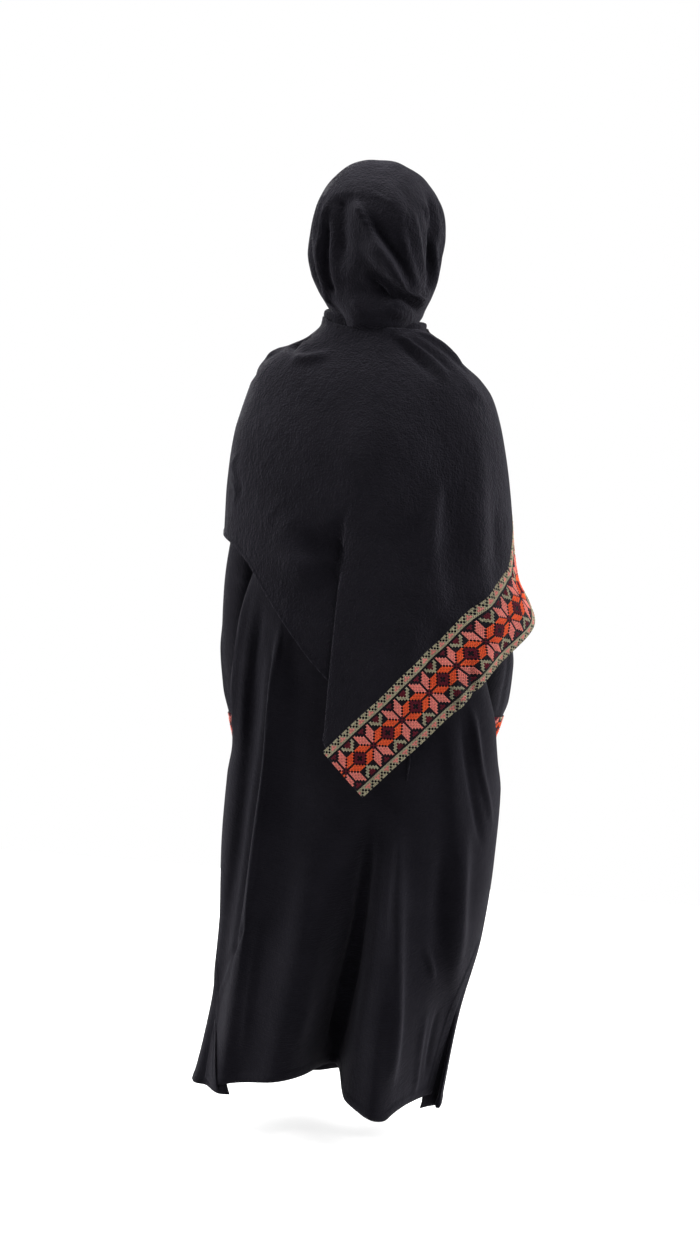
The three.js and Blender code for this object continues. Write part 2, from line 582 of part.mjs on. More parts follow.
// A narrow upright edge that follows the neckline all round, just inside the panels.
function neckBand() {
  const around = (angle, t) => {
    const z = neckline(angle);
    const rise = NECK_EDGE * (1 - t);
    return movedOut(onSection(GOWN, angle, z), -CLOTH - SEAM - NECK_LEAN * rise)
      .add(new THREE.Vector3(0, 0, rise - NECK_OVERLAP));
  };
  return clothWall(around, steps(180, -180, 24).slice(0, -1), [0, 1], { round: true });
}

// ---- Scarf ------------------------------------------------------------------------------
// The back fall's form without its pleat.
function fallAt(angle, z) {
  return movedOut(onSection(CAPE, angle, z), angleFolds(FALL_FOLDS, angle, z));
}

// The pleat at a height: how far the cloth goes under, the angle its turns have reached, where
// it starts, how far it lifts the cloth, and where it ends.
function pleatAt(z) {
  const under = read(PLEAT, 'z', 'under', z);
  const turn = Math.PI * smooth(under / PLEAT_TURNED);
  const start = read(PLEAT, 'z', 'x', z) - under;
  const rise = 2 * PLEAT_ROLL * (1 - Math.cos(turn)) + under * Math.sin(turn);
  const end = start - PLEAT_SPREAD - 2 * PLEAT_ROLL * Math.sin(turn) - under * Math.cos(turn);
  return { under, turn, start, rise, end };
}

// The pleat's path in section, for a share of it from 0 to 1: a turn, a run back under the
// fold edge, and the same turn undone.
function pleatPath({ under, turn }, share) {
  const bend = clamp(share * 3, 0, 1) * turn;
  const run = clamp(share * 3 - 1, 0, 1) * under;
  const left = turn - clamp(share * 3 - 2, 0, 1) * turn;
  const turns = PLEAT_ROLL * (Math.sin(bend) + Math.sin(turn) - Math.sin(left));
  return {
    x: -PLEAT_SPREAD * share - turns - run * Math.cos(turn),
    y: PLEAT_ROLL * (1 - Math.cos(bend) + Math.cos(left) - Math.cos(turn)) + run * Math.sin(turn),
  };
}

// The place on the fall that lies `up` above the band's lower line, measured across the band.
function acrossBand(share, up) {
  const place = (k) => fallAt(read(BAND_LINE, 'share', 'angle', k), read(BAND_LINE, 'share', 'z', k));
  const low = place(share);
  const along = place(share + 0.01).sub(place(share - 0.01)).normalize();
  const angle = read(BAND_LINE, 'share', 'angle', share);
  const toRight = fallAt(angle - 1, low.z).sub(fallAt(angle + 1, low.z));
  const down = fallAt(angle, low.z - 2).sub(fallAt(angle, low.z + 2));
  const out = down.cross(toRight).normalize();
  const target = low.addScaledVector(out.cross(along).normalize(), up);
  return { angle: angleOf(CAPE, target), z: target.z };
}

const lastAngle = acrossBand(1, HEM_BAND).angle;

// Columns of the fall: 0 to 1 left of the pleat, 1 to 2 through it, and 2 to 3 right of it,
// where a column ends at the same share of the band's upper line.
function fallPoint(column, t) {
  if (column > 2) {
    const foot = acrossBand(column - 2, HEM_BAND);
    const pleatEnd = (z) => angleAt(CAPE, pleatAt(z).end, z);
    const across = (foot.angle - pleatEnd(foot.z)) / (lastAngle - pleatEnd(foot.z));
    const top = read(FALL_TOP, 'angle', 'z', lerp(pleatEnd(0), lastAngle, across));
    const z = heightAt(top, foot.z, t);
    return fallAt(lerp(pleatEnd(z), lastAngle, across), z);
  }
  const leftAngle = (z) => lerp(FALL_LEFT_ANGLE, angleAt(CAPE, pleatAt(z).start, z), Math.min(column, 1));
  const z = heightAt(read(FALL_TOP, 'angle', 'z', leftAngle(0)), read(LONG_EDGE, 'column', 'z', column), t);
  const pleat = pleatAt(z);
  const point = fallAt(leftAngle(z), z);
  const near = point.y > 0 ? smooth(1 - (point.x - pleat.start) / PLEAT_FADE) : 0;
  const path = pleatPath(pleat, Math.max(column - 1, 0));
  return point.add(new THREE.Vector3(path.x, path.y - pleat.rise * near, 0));
}

const bandShares = steps(0, 1, 16);
const fallColumns = [...steps(0, 1, 11), ...steps(1, 2, 6).slice(1), ...bandShares.slice(1).map((w) => 2 + w)];
const scarfBack = () => clothWall(fallPoint, fallColumns, rowsDown(8));

// The end band carries the fall on from a seam, down to its lower line.
function endBand(share, t) {
  const place = acrossBand(share, lerp(HEM_BAND - SEAM, 0, t));
  return fallAt(place.angle, place.z);
}
const scarfBand = () => clothWall(endBand, bandShares, steps(0, 1, 2));

// The wrap over the chest follows the fall's form, and lies deeper under the right arm's flap.
function frontWrap(angle, t) {
  const z = heightAt(read(FRONT_WRAP, 'angle', 'top', angle), read(FRONT_WRAP, 'angle', 'fall', angle), t);
  const tuck = read(FRONT_WRAP, 'angle', 'tuck', angle) * smooth(z / TUCKED);
  return movedOut(onSection(CAPE, angle, z), -tuck);
}
const scarfFront = () => clothWall(frontWrap, steps(246, WRAP_START, 12), rowsDown(4));

// The hood's lower edge: the arch of the face opening in front, and the neck elsewhere.
function hoodEdge(angle) {
  const fromFace = 180 - Math.abs(angle);
  if (fromFace > FACE.half) return HOOD_BOTTOM;
  return lerp(FACE.cheek, FACE.brow, Math.sqrt(1 - (fromFace / FACE.half) ** 2));
}

function hood(angle, t) {
  const z = lerp(HOOD[0].z, hoodEdge(angle), t);
  const point = movedOut(onSection(HOOD, angle, z), angleFolds(HOOD_FOLDS, angle, z));
  return point.add(new THREE.Vector3(HOOD_AXIS.x, HOOD_AXIS.y, 0));
}

const faceArch = steps(0, 1, 4).map((k) => FACE.half * Math.sin(k * Math.PI / 2));
const hoodAngles = [
  ...faceArch.map((a) => 180 - a),
  ...steps(180 - FACE.half - 1, -180 + FACE.half + 1, 24),
  ...faceArch.slice(1).reverse().map((a) => -180 + a),
];
const hoodHeights = [0, 0.025, 0.08, 0.16, 0.26, 0.38, 0.5, 0.62, 0.74, 0.85, 0.93, 1];
const scarfHood = () => clothWall(hood, hoodAngles, hoodHeights, { round: true, capped: true });

// The neck roll, all round: up its inner leg, over the top and down its outer leg.
function neckRoll(angle, share) {
  const at = (column) => read(NECK_ROLL, 'angle', column, angle);
  const [inner, outer, top] = ['inner', 'outer', 'top'].map(at);
  const radius = (outer - inner) / 2;
  const turn = clamp((share - 0.25) * 2, 0, 1) * Math.PI;
  const leg = NECK_ROLL_LEG * Math.max(0, 1 - share * 4, share * 4 - 3);
  const reach = inner + radius * (1 - Math.cos(turn));
  const z = top - radius + radius * Math.sin(turn) - leg;
  return new THREE.Vector3(reach * Math.sin(angle * DEG), reach * Math.cos(angle * DEG), z);
}
const rollShares = [0, 0.25, 0.42, 0.58, 0.75, 1];
const scarfNeck = () => clothWall(neckRoll, steps(180, -180, 24).slice(0, -1), rollShares, { round: true });

// ---- The garment ------------------------------------------------------------------------
const BLACK = 0x17161a;
const STITCHED = 0x7d4438;

function piece(name, geometry, color) {
  const material = new THREE.MeshStandardMaterial({ color, roughness: 0.85, metalness: 0 });
  const mesh = new THREE.Mesh(geometry, material);
  mesh.name = name;
  return mesh;
}

const garment = new THREE.Group();
garment.name = 'prayer_abaya';
garment.add(
  piece('dress_back', gownBack(), BLACK),
  piece('dress_front', gownFront(), BLACK),
  piece('neck_band', neckBand(), BLACK),
  piece('sleeve_left', sleeve(1), BLACK),
  piece('sleeve_right', sleeve(-1), BLACK),
  piece('cuff_left', cuff(1), STITCHED),
  piece('cuff_right', cuff(-1), STITCHED),
  piece('scarf_hood', scarfHood(), BLACK),
  piece('scarf_neck', scarfNeck(), BLACK),
  piece('scarf_front', scarfFront(), BLACK),
  piece('scarf_back', scarfBack(), BLACK),
  piece('scarf_band', scarfBand(), STITCHED),
);

export default garment;
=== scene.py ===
"""Prayer abaya with its long head scarf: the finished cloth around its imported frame.

Places are millimetres in the frame's own axes until a mesh is made: +Z is up, the wearer faces -Y
and the wearer's left is +X.  Angles run in degrees from the middle of the back (0) by the wearer's
left (90) to the middle of the front (180).  Every piece of cloth is a thin closed shell, worked
out as one grid of points: rows run down the cloth, columns from the wearer's left by the back.
"""
import math
from functools import partial

import bpy
import numpy as np
from mathutils import Matrix, Vector


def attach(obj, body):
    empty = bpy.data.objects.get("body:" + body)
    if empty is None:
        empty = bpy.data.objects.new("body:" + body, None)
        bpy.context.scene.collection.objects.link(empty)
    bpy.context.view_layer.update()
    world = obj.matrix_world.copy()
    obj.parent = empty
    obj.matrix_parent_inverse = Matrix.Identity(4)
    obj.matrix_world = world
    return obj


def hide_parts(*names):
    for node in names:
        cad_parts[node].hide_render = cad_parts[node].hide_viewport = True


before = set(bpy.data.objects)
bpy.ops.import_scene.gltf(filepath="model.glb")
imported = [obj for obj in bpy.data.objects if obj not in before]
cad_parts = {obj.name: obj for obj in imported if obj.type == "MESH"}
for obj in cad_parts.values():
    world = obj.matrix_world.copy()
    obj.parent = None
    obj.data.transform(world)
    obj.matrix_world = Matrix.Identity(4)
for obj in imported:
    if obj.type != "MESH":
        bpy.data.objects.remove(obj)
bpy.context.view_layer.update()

# ---- Sizes --------------------------------------------------------------------------------
MM = 0.001
THICK = 1.2                 # the cloth's shells
ROUNDNESS = 2.3             # exponent of the body's rounded sections: 2 is an ellipse
STITCH = 3.45               # one cross-stitch, square
CUFF_BAND = 62.0            # width of the embroidered cuffs
CAD_BAND = 100.0            # width of the scarf's end band in the frame
CAD_CLOTH = 1.6             # thickness of the frame's cloth
SEAM = 0.9                  # space between two pieces at a seam
FLOOR = -1360.0             # the level on which the wearer stands


def table(names, *rows):
    """Named columns, one row for each section or fold."""
    return dict(zip(names.split(), np.array(rows, float).T))


# ---- Tables: reaches from the upright axis, from the top down -------------------------------
GOWN = table(
    "z left right back front armLeft armRight armAngle",
    (0, 62, 62, 56, 54, 0, 0, 95),
    (-12, 72, 72, 62, 58, 0, 0, 95),
    (-30, 105, 105, 71, 68, 0, 0, 95),
    (-50, 145, 143, 83, 79, 0, 0, 95),
    (-72, 170, 168, 94, 89, 0, 0, 95),
    (-100, 177, 178, 106, 101, 0, 0, 95),
    (-200, 182, 186, 125, 128, 0, 0, 95),
    (-292, 182, 190, 130, 138, 3, 3, 92),
    (-318, 186, 196, 131, 139, 30, 30, 88),
    (-350, 196, 207, 131, 140, 58, 58, 90),
    (-450, 214, 230, 133, 137, 68, 74, 100),
    (-560, 219, 245, 138, 134, 68, 80, 111),
    (-650, 212, 254, 141, 134, 64, 82, 124),
    (-700, 207, 253, 142, 137, 54, 44, 128),
    (-750, 211, 253, 142, 141, 12, 6, 130),
    (-870, 213, 249, 139, 148, 0, 0, 130),
    (-995, 212, 234, 132, 157, 0, 0, 130),
    (-1120, 219, 206, 122, 166, 0, 0, 130),
    (-1200, 232, 193, 112, 171, 0, 0, 130),
    (-1310, 256, 176, 100, 178, 0, 0, 130),
)
ARM_SPREAD = 28             # degrees over which an arm's bulge falls off
SIDE_FADE = 4               # how soon the large folds come in from the sides
NECKLINE = dict(back=-8, front=-64, level=40)   # its heights, and how far round it is level
PANEL_EDGES = table(
    "z backLeft backRight frontLeft frontRight",
    (0, 90, 90, 90, 90),
    (-985, 90, 90, 90, 90),
    (-1040, 88, 84, 97, 101),
    (-1120, 75, 75, 110, 110),
    (-1200, 57, 67, 128, 118),
    (-1310, 40, 60, 145, 125),
)
SEAM_ANGLE = 0.015          # degrees from the seam's line to each panel's edge
UNDERLAP = 3.0              # how deep the front's slit edges lie under the back's
UNDERLAP_TURN = 6           # degrees over which they go under
ARMHOLE = dict(z=-182, half=110, depth=60, y=-4)   # an ellipse: its middle and its half axes
ARMHOLE_MARGIN = 1.2        # how far the panels keep away from it
BACK_HEM = table(
    "share z",
    (-1, -1274), (-0.8, -1276), (-0.66, -1278), (-0.54, -1284), (-0.38, -1297), (-0.26, -1276),
    (-0.12, -1245), (0.02, -1247), (0.3, -1257), (0.62, -1268), (1, -1276),
)
FRONT_HEM = table("share z", (-1, -1297), (-0.5, -1292), (0, -1286), (1, -1284))

# Large folds: three heights, the x or the angle at each, the width, how far they stand out (+) or in
# (-), and the height at which they are fully grown.
FOLD_COLUMNS = "top mid end atTop atMid atEnd width deep ripe"
BACK_FOLDS = table(
    FOLD_COLUMNS,
    (-430, -850, -1290, 102, 131, 186, 19, 15, -640),
    (-430, -850, -1290, 134, 166, 222, 17, -18, -640),
    (-700, -966, -1251, -72, -37, 14, 34, -150, -1300),
    (-740, -1000, -1290, -100, -106, -88, 32, 34, -1200),
    (-960, -1100, -1290, -214, -196, -162, 30, -62, -1290),
    (-600, -720, -860, -176, -192, -205, 16, 9, -700),
    (-820, -1000, -1290, 40, 58, 96, 26, 10, -1150),
)
FRONT_FOLDS = table(
    FOLD_COLUMNS,
    (-330, -800, -1290, 78, 96, 132, 24, 20, -1000),
    (-360, -820, -1290, 36, 44, 62, 26, -34, -1200),
    (-300, -780, -1290, -20, -24, -14, 28, 24, -1100),
    (-420, -860, -1290, -76, -84, -82, 27, -40, -1250),
    (-520, -900, -1290, -136, -146, -138, 24, 18, -1100),
    (-560, -900, -1290, 150, 168, 196, 24, -26, -1200),
)
# Columns of the back that run along a fold, or beside it.
BACK_GUIDES = table(
    "share fold beside",
    (0.78, 1, 0), (0.62, 0, 0), (0.02, 2, 45), (-0.12, 2, 0), (-0.26, 2, -45), (-0.38, 3, -14),
)
GUIDED = -430               # the height from which they do

# Sleeves: the outer and the inner point of each ring, its middle and half depth.
LEFT_SLEEVE = table(
    "ring outX outZ inX inZ y depth",
    (0, 187, -96, 176, -308, -4, 62),
    (1, 205, -160, 170, -340, -5, 61),
    (2, 218, -250, 162, -390, -7, 60),
    (3, 229, -345, 160, -440, -12, 58),
    (4, 241, -440, 162, -496, -26, 57),
    (5, 245, -530, 165, -556, -50, 55),
    (6, 243, -612, 164, -616, -82, 53),
    (7, 230, -717, 152, -693, -122, 50),
)
RIGHT_SLEEVE = table(
    "ring outX outZ inX inZ y depth",
    (0, 188, -96, 183, -308, -4, 62),
    (1, 208, -160, 178, -340, -5, 61),
    (2, 225, -250, 173, -390, -7, 60),
    (3, 239, -345, 174, -440, -12, 58),
    (4, 248, -440, 178, -496, -24, 57),
    (5, 256, -530, 184, -552, -46, 55),
    (6, 247, -602, 180, -603, -78, 53),
    (7, 221, -690, 158, -664, -107, 49),
)

# The scarf over the shoulders, arms and back.
CAPE = table(
    "z left right back front",
    (40, 88, 86, 59, 99),
    (14, 91, 90, 64, 100),
    (-7, 112, 113, 70, 102),
    (-27, 151, 134, 80, 104),
    (-44, 180, 153, 90, 109),
    (-66, 198, 180, 103, 115),
    (-95, 207, 202, 116, 124),
    (-136, 219, 217, 129, 136),
    (-172, 228, 226, 138, 146),
    (-222, 234, 236, 146, 155),
    (-282, 237, 245, 152, 159),
    (-342, 237, 252, 156, 159),
    (-392, 236, 262, 159, 158),
    (-434, 236, 284, 161, 158),
    (-470, 234, 298, 163, 158),
    (-560, 230, 286, 167, 158),
    (-760, 226, 268, 170, 158),
)
PLEAT = table(
    "z x under",
    (-230, -24, 0), (-282, -7, 2), (-302, 0, 3.5), (-320, 5, 5), (-345, 8.5, 8), (-366, 10, 11),
    (-395, 11, 18), (-436, 12.5, 36), (-535, 17, 53), (-690, 22, 68), (-800, 23, 70),
)
PLEAT_ROLL = 2.6            # radius of the pleat's turns
PLEAT_SPREAD = 7            # how far its path runs on sideways
PLEAT_TURNED = 15           # the depth from which it lies folded right back
PLEAT_FADE = 140            # distance over which the cloth left of it comes back to its form
FALL_FOLDS = table(
    FOLD_COLUMNS,
    (-210, -330, -470, -37, -31, -28, 6, 5, -330),
    (-210, -330, -470, -45, -39, -36, 6, -6, -330),
    (-120, -330, -620, -58, -52, -47, 7, 7, -240),
    (5, -30, -110, -38, -58, -64, 8, 7, -10),
    (0, -40, -90, 62, 72, 84, 8, -8, -20),
    (-420, -540, -640, -53, -44, -38, 6, 6, -560),
)
BAND_LINE = table(
    "share angle z",
    (0, -8, -755), (0.095, -17.7, -704), (0.195, -28.7, -653), (0.28, -38.3, -607),
    (0.36, -47.7, -567), (0.43, -57.5, -528), (0.49, -69, -498), (0.56, -84, -468),
    (0.66, -100, -428), (0.77, -115, -380), (0.88, -128, -332), (1, -140, -282),
)
LONG_EDGE = table(
    "column z",
    (0, -318), (0.16, -330), (0.3, -342), (0.51, -359), (0.625, -387), (0.73, -446),
    (0.84, -514), (0.88, -540), (1, -600), (2, -677),
)
FALL_TOP = table(
    "angle z",
    (118, 16), (96, 24), (70, 26), (44, 16), (20, 10), (-40, 10), (-80, 6), (-94, -10), (-108, -42),
    (-122, -112), (-140, -214),
)
FALL_LEFT_ANGLE = 118
FRONT_WRAP = table(
    "angle top fall tuck",
    (118, 16, -318, 0), (135, 17, -306, 1), (155, 14, -286, 4), (180, 8, -250, 7),
    (205, 12, -204, 8), (228, 18, -150, 9), (246, 16, -92, 9), (258, 12, -62, 9), (272, 4, -40, 9),
)
WRAP_START = 118.4          # where the wrap starts beside the fall
TUCKED = -30                # height from which it lies fully tucked in

# The scarf over the head, round an axis through the crown.
HOOD_AXIS = np.array([10.0, -30.0, 0.0])
HOOD = table(
    "z left right back front",
    (293, 0, 0, 0, 0), (289, 32, 28, 30, 26), (277, 59, 56, 54, 48), (258, 80, 80, 75, 66),
    (234, 94, 98, 93, 82), (208, 105, 108, 103, 90), (175, 111, 114, 109, 95),
    (134, 113, 110, 112, 96), (98, 107, 106, 108, 92), (70, 94, 97, 99, 82),
    (46, 78, 84, 87, 64), (33, 65.5, 76, 74, 48.8), (22, 55.2, 66, 64, 39.4), (6, 46, 56, 58, 34),
)
HOOD_FOLDS = table(
    FOLD_COLUMNS,
    (250, 160, 50, 62, 66, 50, 6, -9, 200),
    (250, 160, 50, 50, 52, 38, 6, 6, 200),
    (262, 160, 40, -12, -34, -52, 9, 8, 200),
    (250, 160, 40, -62, -66, -68, 6, -10, 200),
    (120, 70, 30, 20, -18, -46, 10, 7, 70),
)
# The face opening: half its angle, its two heights, and the degrees over which its sides widen.
FACE = dict(half=47, brow=214, cheek=104, widening=4)
NECK_ROLL = table(
    "angle inner outer top",
    (-180, 78, 88, 14), (-120, 76, 87, 22), (-80, 69, 82, 24), (-25, 47, 57, 17), (20, 46, 56, 17),
    (60, 61, 75, 24), (90, 74, 88.5, 31), (110, 77, 89, 29), (130, 81, 92, 26), (180, 78, 88, 14),
)
NECK_ROLL_LEG = 11.4        # length of the roll's two legs
LEG_SHARE = 0.25            # share of the section that each takes
COLLAR_RISE = table("angle up", (0, 0), (25, 1), (48, 8), (75, 10), (100, 6), (130, 0))
BAG = table("z out", (92, 0), (70, 3), (46, 18), (33, 32), (22, 40), (14, 42), (8, 40), (2, 35))
BAG_SIDES = table(
    "angle share",
    (-112, 0), (-90, 0.25), (-70, 0.42), (-45, 0.85), (-20, 1), (5, 1), (22, 0.6), (40, 0.1), (60, 0),
)
BAG_BOTTOM = table("angle z", (-100, 8), (-75, 4), (-40, 1), (-10, 3), (15, 9), (40, 12), (70, 8))
# How far a panel has dropped at the first shares of its length, while it curves over the shoulder.
SHOULDER = table("t drop", (0, 0), (0.06, 15), (0.12, 32), (0.18, 50), (0.24, 72), (0.31, 108), (0.38, 160))
SHOULDER_SHARE = 0.45       # the largest share of a panel's height that this may take


# ---- Helpers on arrays ----------------------------------------------------------------------
def lerp(a, b, t):
    return a + (b - a) * t


def smooth(t):
    """0 to 1 with a soft start and end: 3t^2 - 2t^3."""
    k = np.clip(t, 0, 1)
    return k * k * (3 - 2 * k)


def signed_power(v, p):
    """A power that keeps its base's sign."""
    return np.sign(v) * np.abs(v) ** p


def read(rows, key, column, at):
    """A table's column at the given places: cubic pieces through its rows that never swing past them."""
    x, y = rows[key], rows[column]
    if x[0] > x[-1]:
        x, y = x[::-1], y[::-1]
    at = np.clip(at, x[0], x[-1])
    slope = np.diff(y) / np.diff(x)
    before, after = slope[:-1], slope[1:]
    total = np.where(before * after > 0, before + after, 1)
    inside = np.where(before * after > 0, 2 * before * after / total, 0)
    tangent = np.concatenate([slope[:1], inside, slope[-1:]])
    i = np.clip(np.searchsorted(x, at, side="right") - 1, 0, len(x) - 2)
    span = x[i + 1] - x[i]
    t = (at - x[i]) / span
    from_start = (2 * t**3 - 3 * t**2 + 1) * y[i] + (t**3 - 2 * t**2 + t) * span * tangent[i]
    to_end = (3 * t**2 - 2 * t**3) * y[i + 1] + (t**3 - t**2) * span * tangent[i + 1]
    return from_start + to_end


def vector(x, y, z):
    """Points from their three coordinates."""
    return np.stack(np.broadcast_arrays(x, y, z), -1).astype(float)


def sided(rows, z, test, yes, no):
    """One of two columns of a table at a height, by where the test holds."""
    return np.where(test, read(rows, "z", yes, z), read(rows, "z", no, z))


def on_section(rows, angle, z):
    """A point on a rounded section: quarters of a superellipse, each with its own two reaches."""
    s, c = np.sin(np.radians(angle)), np.cos(np.radians(angle))
    side = sided(rows, z, s > 0, "left", "right")
    deep = sided(rows, z, c > 0, "back", "front")
    return vector(side * signed_power(s, 2 / ROUNDNESS), deep * signed_power(c, 2 / ROUNDNESS), z)


def angle_of(rows, point):
    """The angle of a point that lies on, or just off, a section."""
    x, y, z = np.moveaxis(point, -1, 0)
    side = sided(rows, z, x > 0, "left", "right")
    deep = sided(rows, z, y > 0, "back", "front")
    s, c = signed_power(x / side, ROUNDNESS / 2), signed_power(y / deep, ROUNDNESS / 2)
    return np.degrees(np.arctan2(s, c))


def angle_at(rows, x, z):
    """The angle at which a section's back reaches sideways to x."""
    side = sided(rows, z, x > 0, "left", "right")
    return np.sign(x) * np.degrees(np.arcsin(np.clip(np.abs(x) / side, 0, 1) ** (ROUNDNESS / 2)))


def moved_out(point, distance):
    """A point moved away from the upright axis."""
    flat = point * (1, 1, 0)
    length = np.maximum(np.linalg.norm(flat, axis=-1, keepdims=True), 1e-9)
    return point + flat / length * np.asarray(distance)[..., None]


def unit(v):
    return v / np.maximum(np.linalg.norm(v, axis=-1, keepdims=True), 1e-12)


def fold_rows(folds):
    """A table of folds as one small record for each row."""
    return [dict(zip(folds, values)) for values in zip(*folds.values())]


def fold_place(fold, z):
    """Where a fold lies at a height: on a line bent at its middle."""
    places = [fold["atEnd"], fold["atMid"], fold["atTop"]]
    return np.interp(z, [fold["end"], fold["mid"], fold["top"]], places)


FOLD_FADE = 0.2             # share of a fold's height over which it may fade out


def folds_at(folds, across, z, fades=False):
    """The sum of large folds: each is a bell curve that grows down to its ripe height, and may fade
    out towards its end."""
    total = 0
    for fold in fold_rows(folds):
        away = (across - fold_place(fold, z)) / fold["width"]
        ripe = smooth((fold["top"] - z) / (fold["top"] - fold["ripe"]))
        fade = smooth((z - fold["end"]) / (FOLD_FADE * (fold["top"] - fold["end"]))) if fades else 1
        total = total + fold["deep"] * ripe * fade * np.exp(-away * away)
    return total


def height_at(top, low, t):
    """Height down a column: close together over the shoulder's curve, then even to the end."""
    foot_t, foot_drop = SHOULDER["t"][-1], SHOULDER["drop"][-1]
    scale = np.minimum(1, SHOULDER_SHARE * (top - low) / foot_drop)
    upper = top - scale * np.interp(t, SHOULDER["t"], SHOULDER["drop"])
    lower = lerp(top - scale * foot_drop, low, (t - foot_t) / (1 - foot_t))
    return np.where(t < foot_t, upper, lower)


# ---- The gown's forms -----------------------------------------------------------------------
def gown_body(angle, z):
    """The body at an angle and height: a rounded section, pressed in by the arms, and folded."""
    point = on_section(GOWN, angle, z)
    from_arm = (np.abs(angle) - read(GOWN, "z", "armAngle", z)) / ARM_SPREAD
    press = sided(GOWN, z, angle > 0, "armLeft", "armRight")
    x = point[..., 0] - np.sign(angle) * press * np.exp(-from_arm * from_arm)
    facing = np.cos(np.radians(angle))
    back = folds_at(BACK_FOLDS, x, z) * smooth(facing * SIDE_FADE)
    front = folds_at(FRONT_FOLDS, x, z) * smooth(-facing * SIDE_FADE)
    return vector(x, point[..., 1] + np.where(facing > 0, back, -front), z)


def panel_edge(side, face, z):
    """A panel's side edge, as an angle: at the seam, round the armhole, and drawn back at the slit."""
    seam = read(PANEL_EDGES, "z", face + side, z) - SEAM_ANGLE
    k = (z - ARMHOLE["z"]) / (ARMHOLE["half"] + ARMHOLE_MARGIN)
    half = (ARMHOLE["depth"] + ARMHOLE_MARGIN) * np.sqrt(np.maximum(1 - k * k, 0))
    reach = half + (ARMHOLE["y"] if face == "back" else -ARMHOLE["y"])
    round_hole = np.degrees(np.arccos(np.clip(reach / read(GOWN, "z", face, z), 0, 1) ** (ROUNDNESS / 2)))
    return np.where(np.abs(k) < 1, np.minimum(seam, round_hole), seam)


def neckline(angle):
    """The neckline's height: level over the back, then down to the middle of the front."""
    down = smooth((np.abs(angle) - NECKLINE["level"]) / (180 - NECKLINE["level"]))
    return lerp(NECKLINE["back"], NECKLINE["front"], down)


def back_angle(share, z):
    """The back's columns follow its folds: a share lies between the two guides beside it."""
    start = np.minimum(z, GUIDED)
    folds = fold_rows(BACK_FOLDS)
    shares, angles = [1.0], [panel_edge("Left", "back", z)]
    for guide in fold_rows(BACK_GUIDES):
        place = fold_place(folds[int(guide["fold"])], start) + guide["beside"]
        shares.append(guide["share"])
        angles.append(angle_at(GOWN, place, start))
    shares.append(-1.0)
    angles.append(-panel_edge("Right", "back", z))
    result = angles[0]
    for k in range(len(shares) - 1):
        t = np.clip((shares[k] - share) / (shares[k] - shares[k + 1]), 0, 1)
        result = result + (angles[k + 1] - angles[k]) * t
    return result


def back_panel(share, t):
    """The back, from its left seam (1) to its right (-1)."""
    z = height_at(neckline(share * 90), read(BACK_HEM, "share", "z", share), t)
    return gown_body(back_angle(share, z), z)


def front_panel(share, t):
    """The front, whose edges go under the back's below the slits' top."""
    z = height_at(neckline(180 - np.abs(share) * 90), read(FRONT_HEM, "share", "z", share), t)
    edge = np.where(share > 0, panel_edge("Left", "front", z), panel_edge("Right", "front", z))
    angle = 180 - edge * np.abs(share)
    under = UNDERLAP * smooth((90 - angle) / UNDERLAP_TURN)
    return moved_out(gown_body(angle * np.sign(share), z), -under)


def sleeve_point(side, rows, turn, ring):
    """A sleeve's point: each ring is an ellipse between its outer and inner point, and the first
    stretch goes from the armhole's outline on the body to ring 0."""
    c, s = np.cos(turn), np.sin(turn)
    outward = (1 + c) / 2
    at = {name: read(rows, "ring", name, np.maximum(ring, 0)) for name in rows}
    point = vector(
        side * lerp(at["inX"], at["outX"], outward),
        at["y"] + s * at["depth"],
        lerp(at["inZ"], at["outZ"], outward),
    )
    y, z = ARMHOLE["y"] + s * ARMHOLE["depth"], ARMHOLE["z"] + c * ARMHOLE["half"]
    deep = sided(GOWN, z, y > 0, "back", "front")
    reach = read(GOWN, "z", "left" if side > 0 else "right", z)
    across = reach * (1 - (np.abs(y) / deep) ** ROUNDNESS) ** (1 / ROUNDNESS)
    start = vector(side * (across + SEAM), y, z)
    return lerp(start, point, np.clip(ring + 1, 0, 1)[..., None])


def sleeve_place(side, rows, degrees, ring):
    """The same by degrees from its outside, by the back on the left and by the front on the right."""
    return sleeve_point(side, rows, side * np.radians(degrees), ring)


# ---- The scarf's forms ----------------------------------------------------------------------
def fall_at(angle, z):
    """The back fall's form without its pleat."""
    return moved_out(on_section(CAPE, angle, z), folds_at(FALL_FOLDS, angle, z, fades=True))


def pleat_at(z):
    """The pleat at a height: x is its crest's, which lies five sixths along its path."""
    under = read(PLEAT, "z", "under", z)
    turn = np.pi * smooth(under / PLEAT_TURNED)
    turns = PLEAT_ROLL * (2 * np.sin(turn) - np.sin(turn / 2))
    crest = -PLEAT_SPREAD * 5 / 6 - turns - under * np.cos(turn)
    start = read(PLEAT, "z", "x", z) - crest
    rise = 2 * PLEAT_ROLL * (1 - np.cos(turn)) + under * np.sin(turn)
    end = start - PLEAT_SPREAD - 2 * PLEAT_ROLL * np.sin(turn) - under * np.cos(turn)
    return dict(under=under, turn=turn, start=start, rise=rise, end=end)


def pleat_path(pleat, share):
    """The pleat in section: a turn, a run back under the fold edge, and the same turn undone."""
    turn = pleat["turn"]
    bend = np.clip(share * 3, 0, 1) * turn
    run = np.clip(share * 3 - 1, 0, 1) * pleat["under"]
    left = turn - np.clip(share * 3 - 2, 0, 1) * turn
    turns = PLEAT_ROLL * (np.sin(bend) + np.sin(turn) - np.sin(left))
    x = -PLEAT_SPREAD * share - turns - run * np.cos(turn)
    y = PLEAT_ROLL * (1 - np.cos(bend) + np.cos(left) - np.cos(turn)) + run * np.sin(turn)
    return x, y


SHARE_STEP, ANGLE_STEP, Z_STEP = 0.01, 1, 2   # steps over which the form's slopes are taken


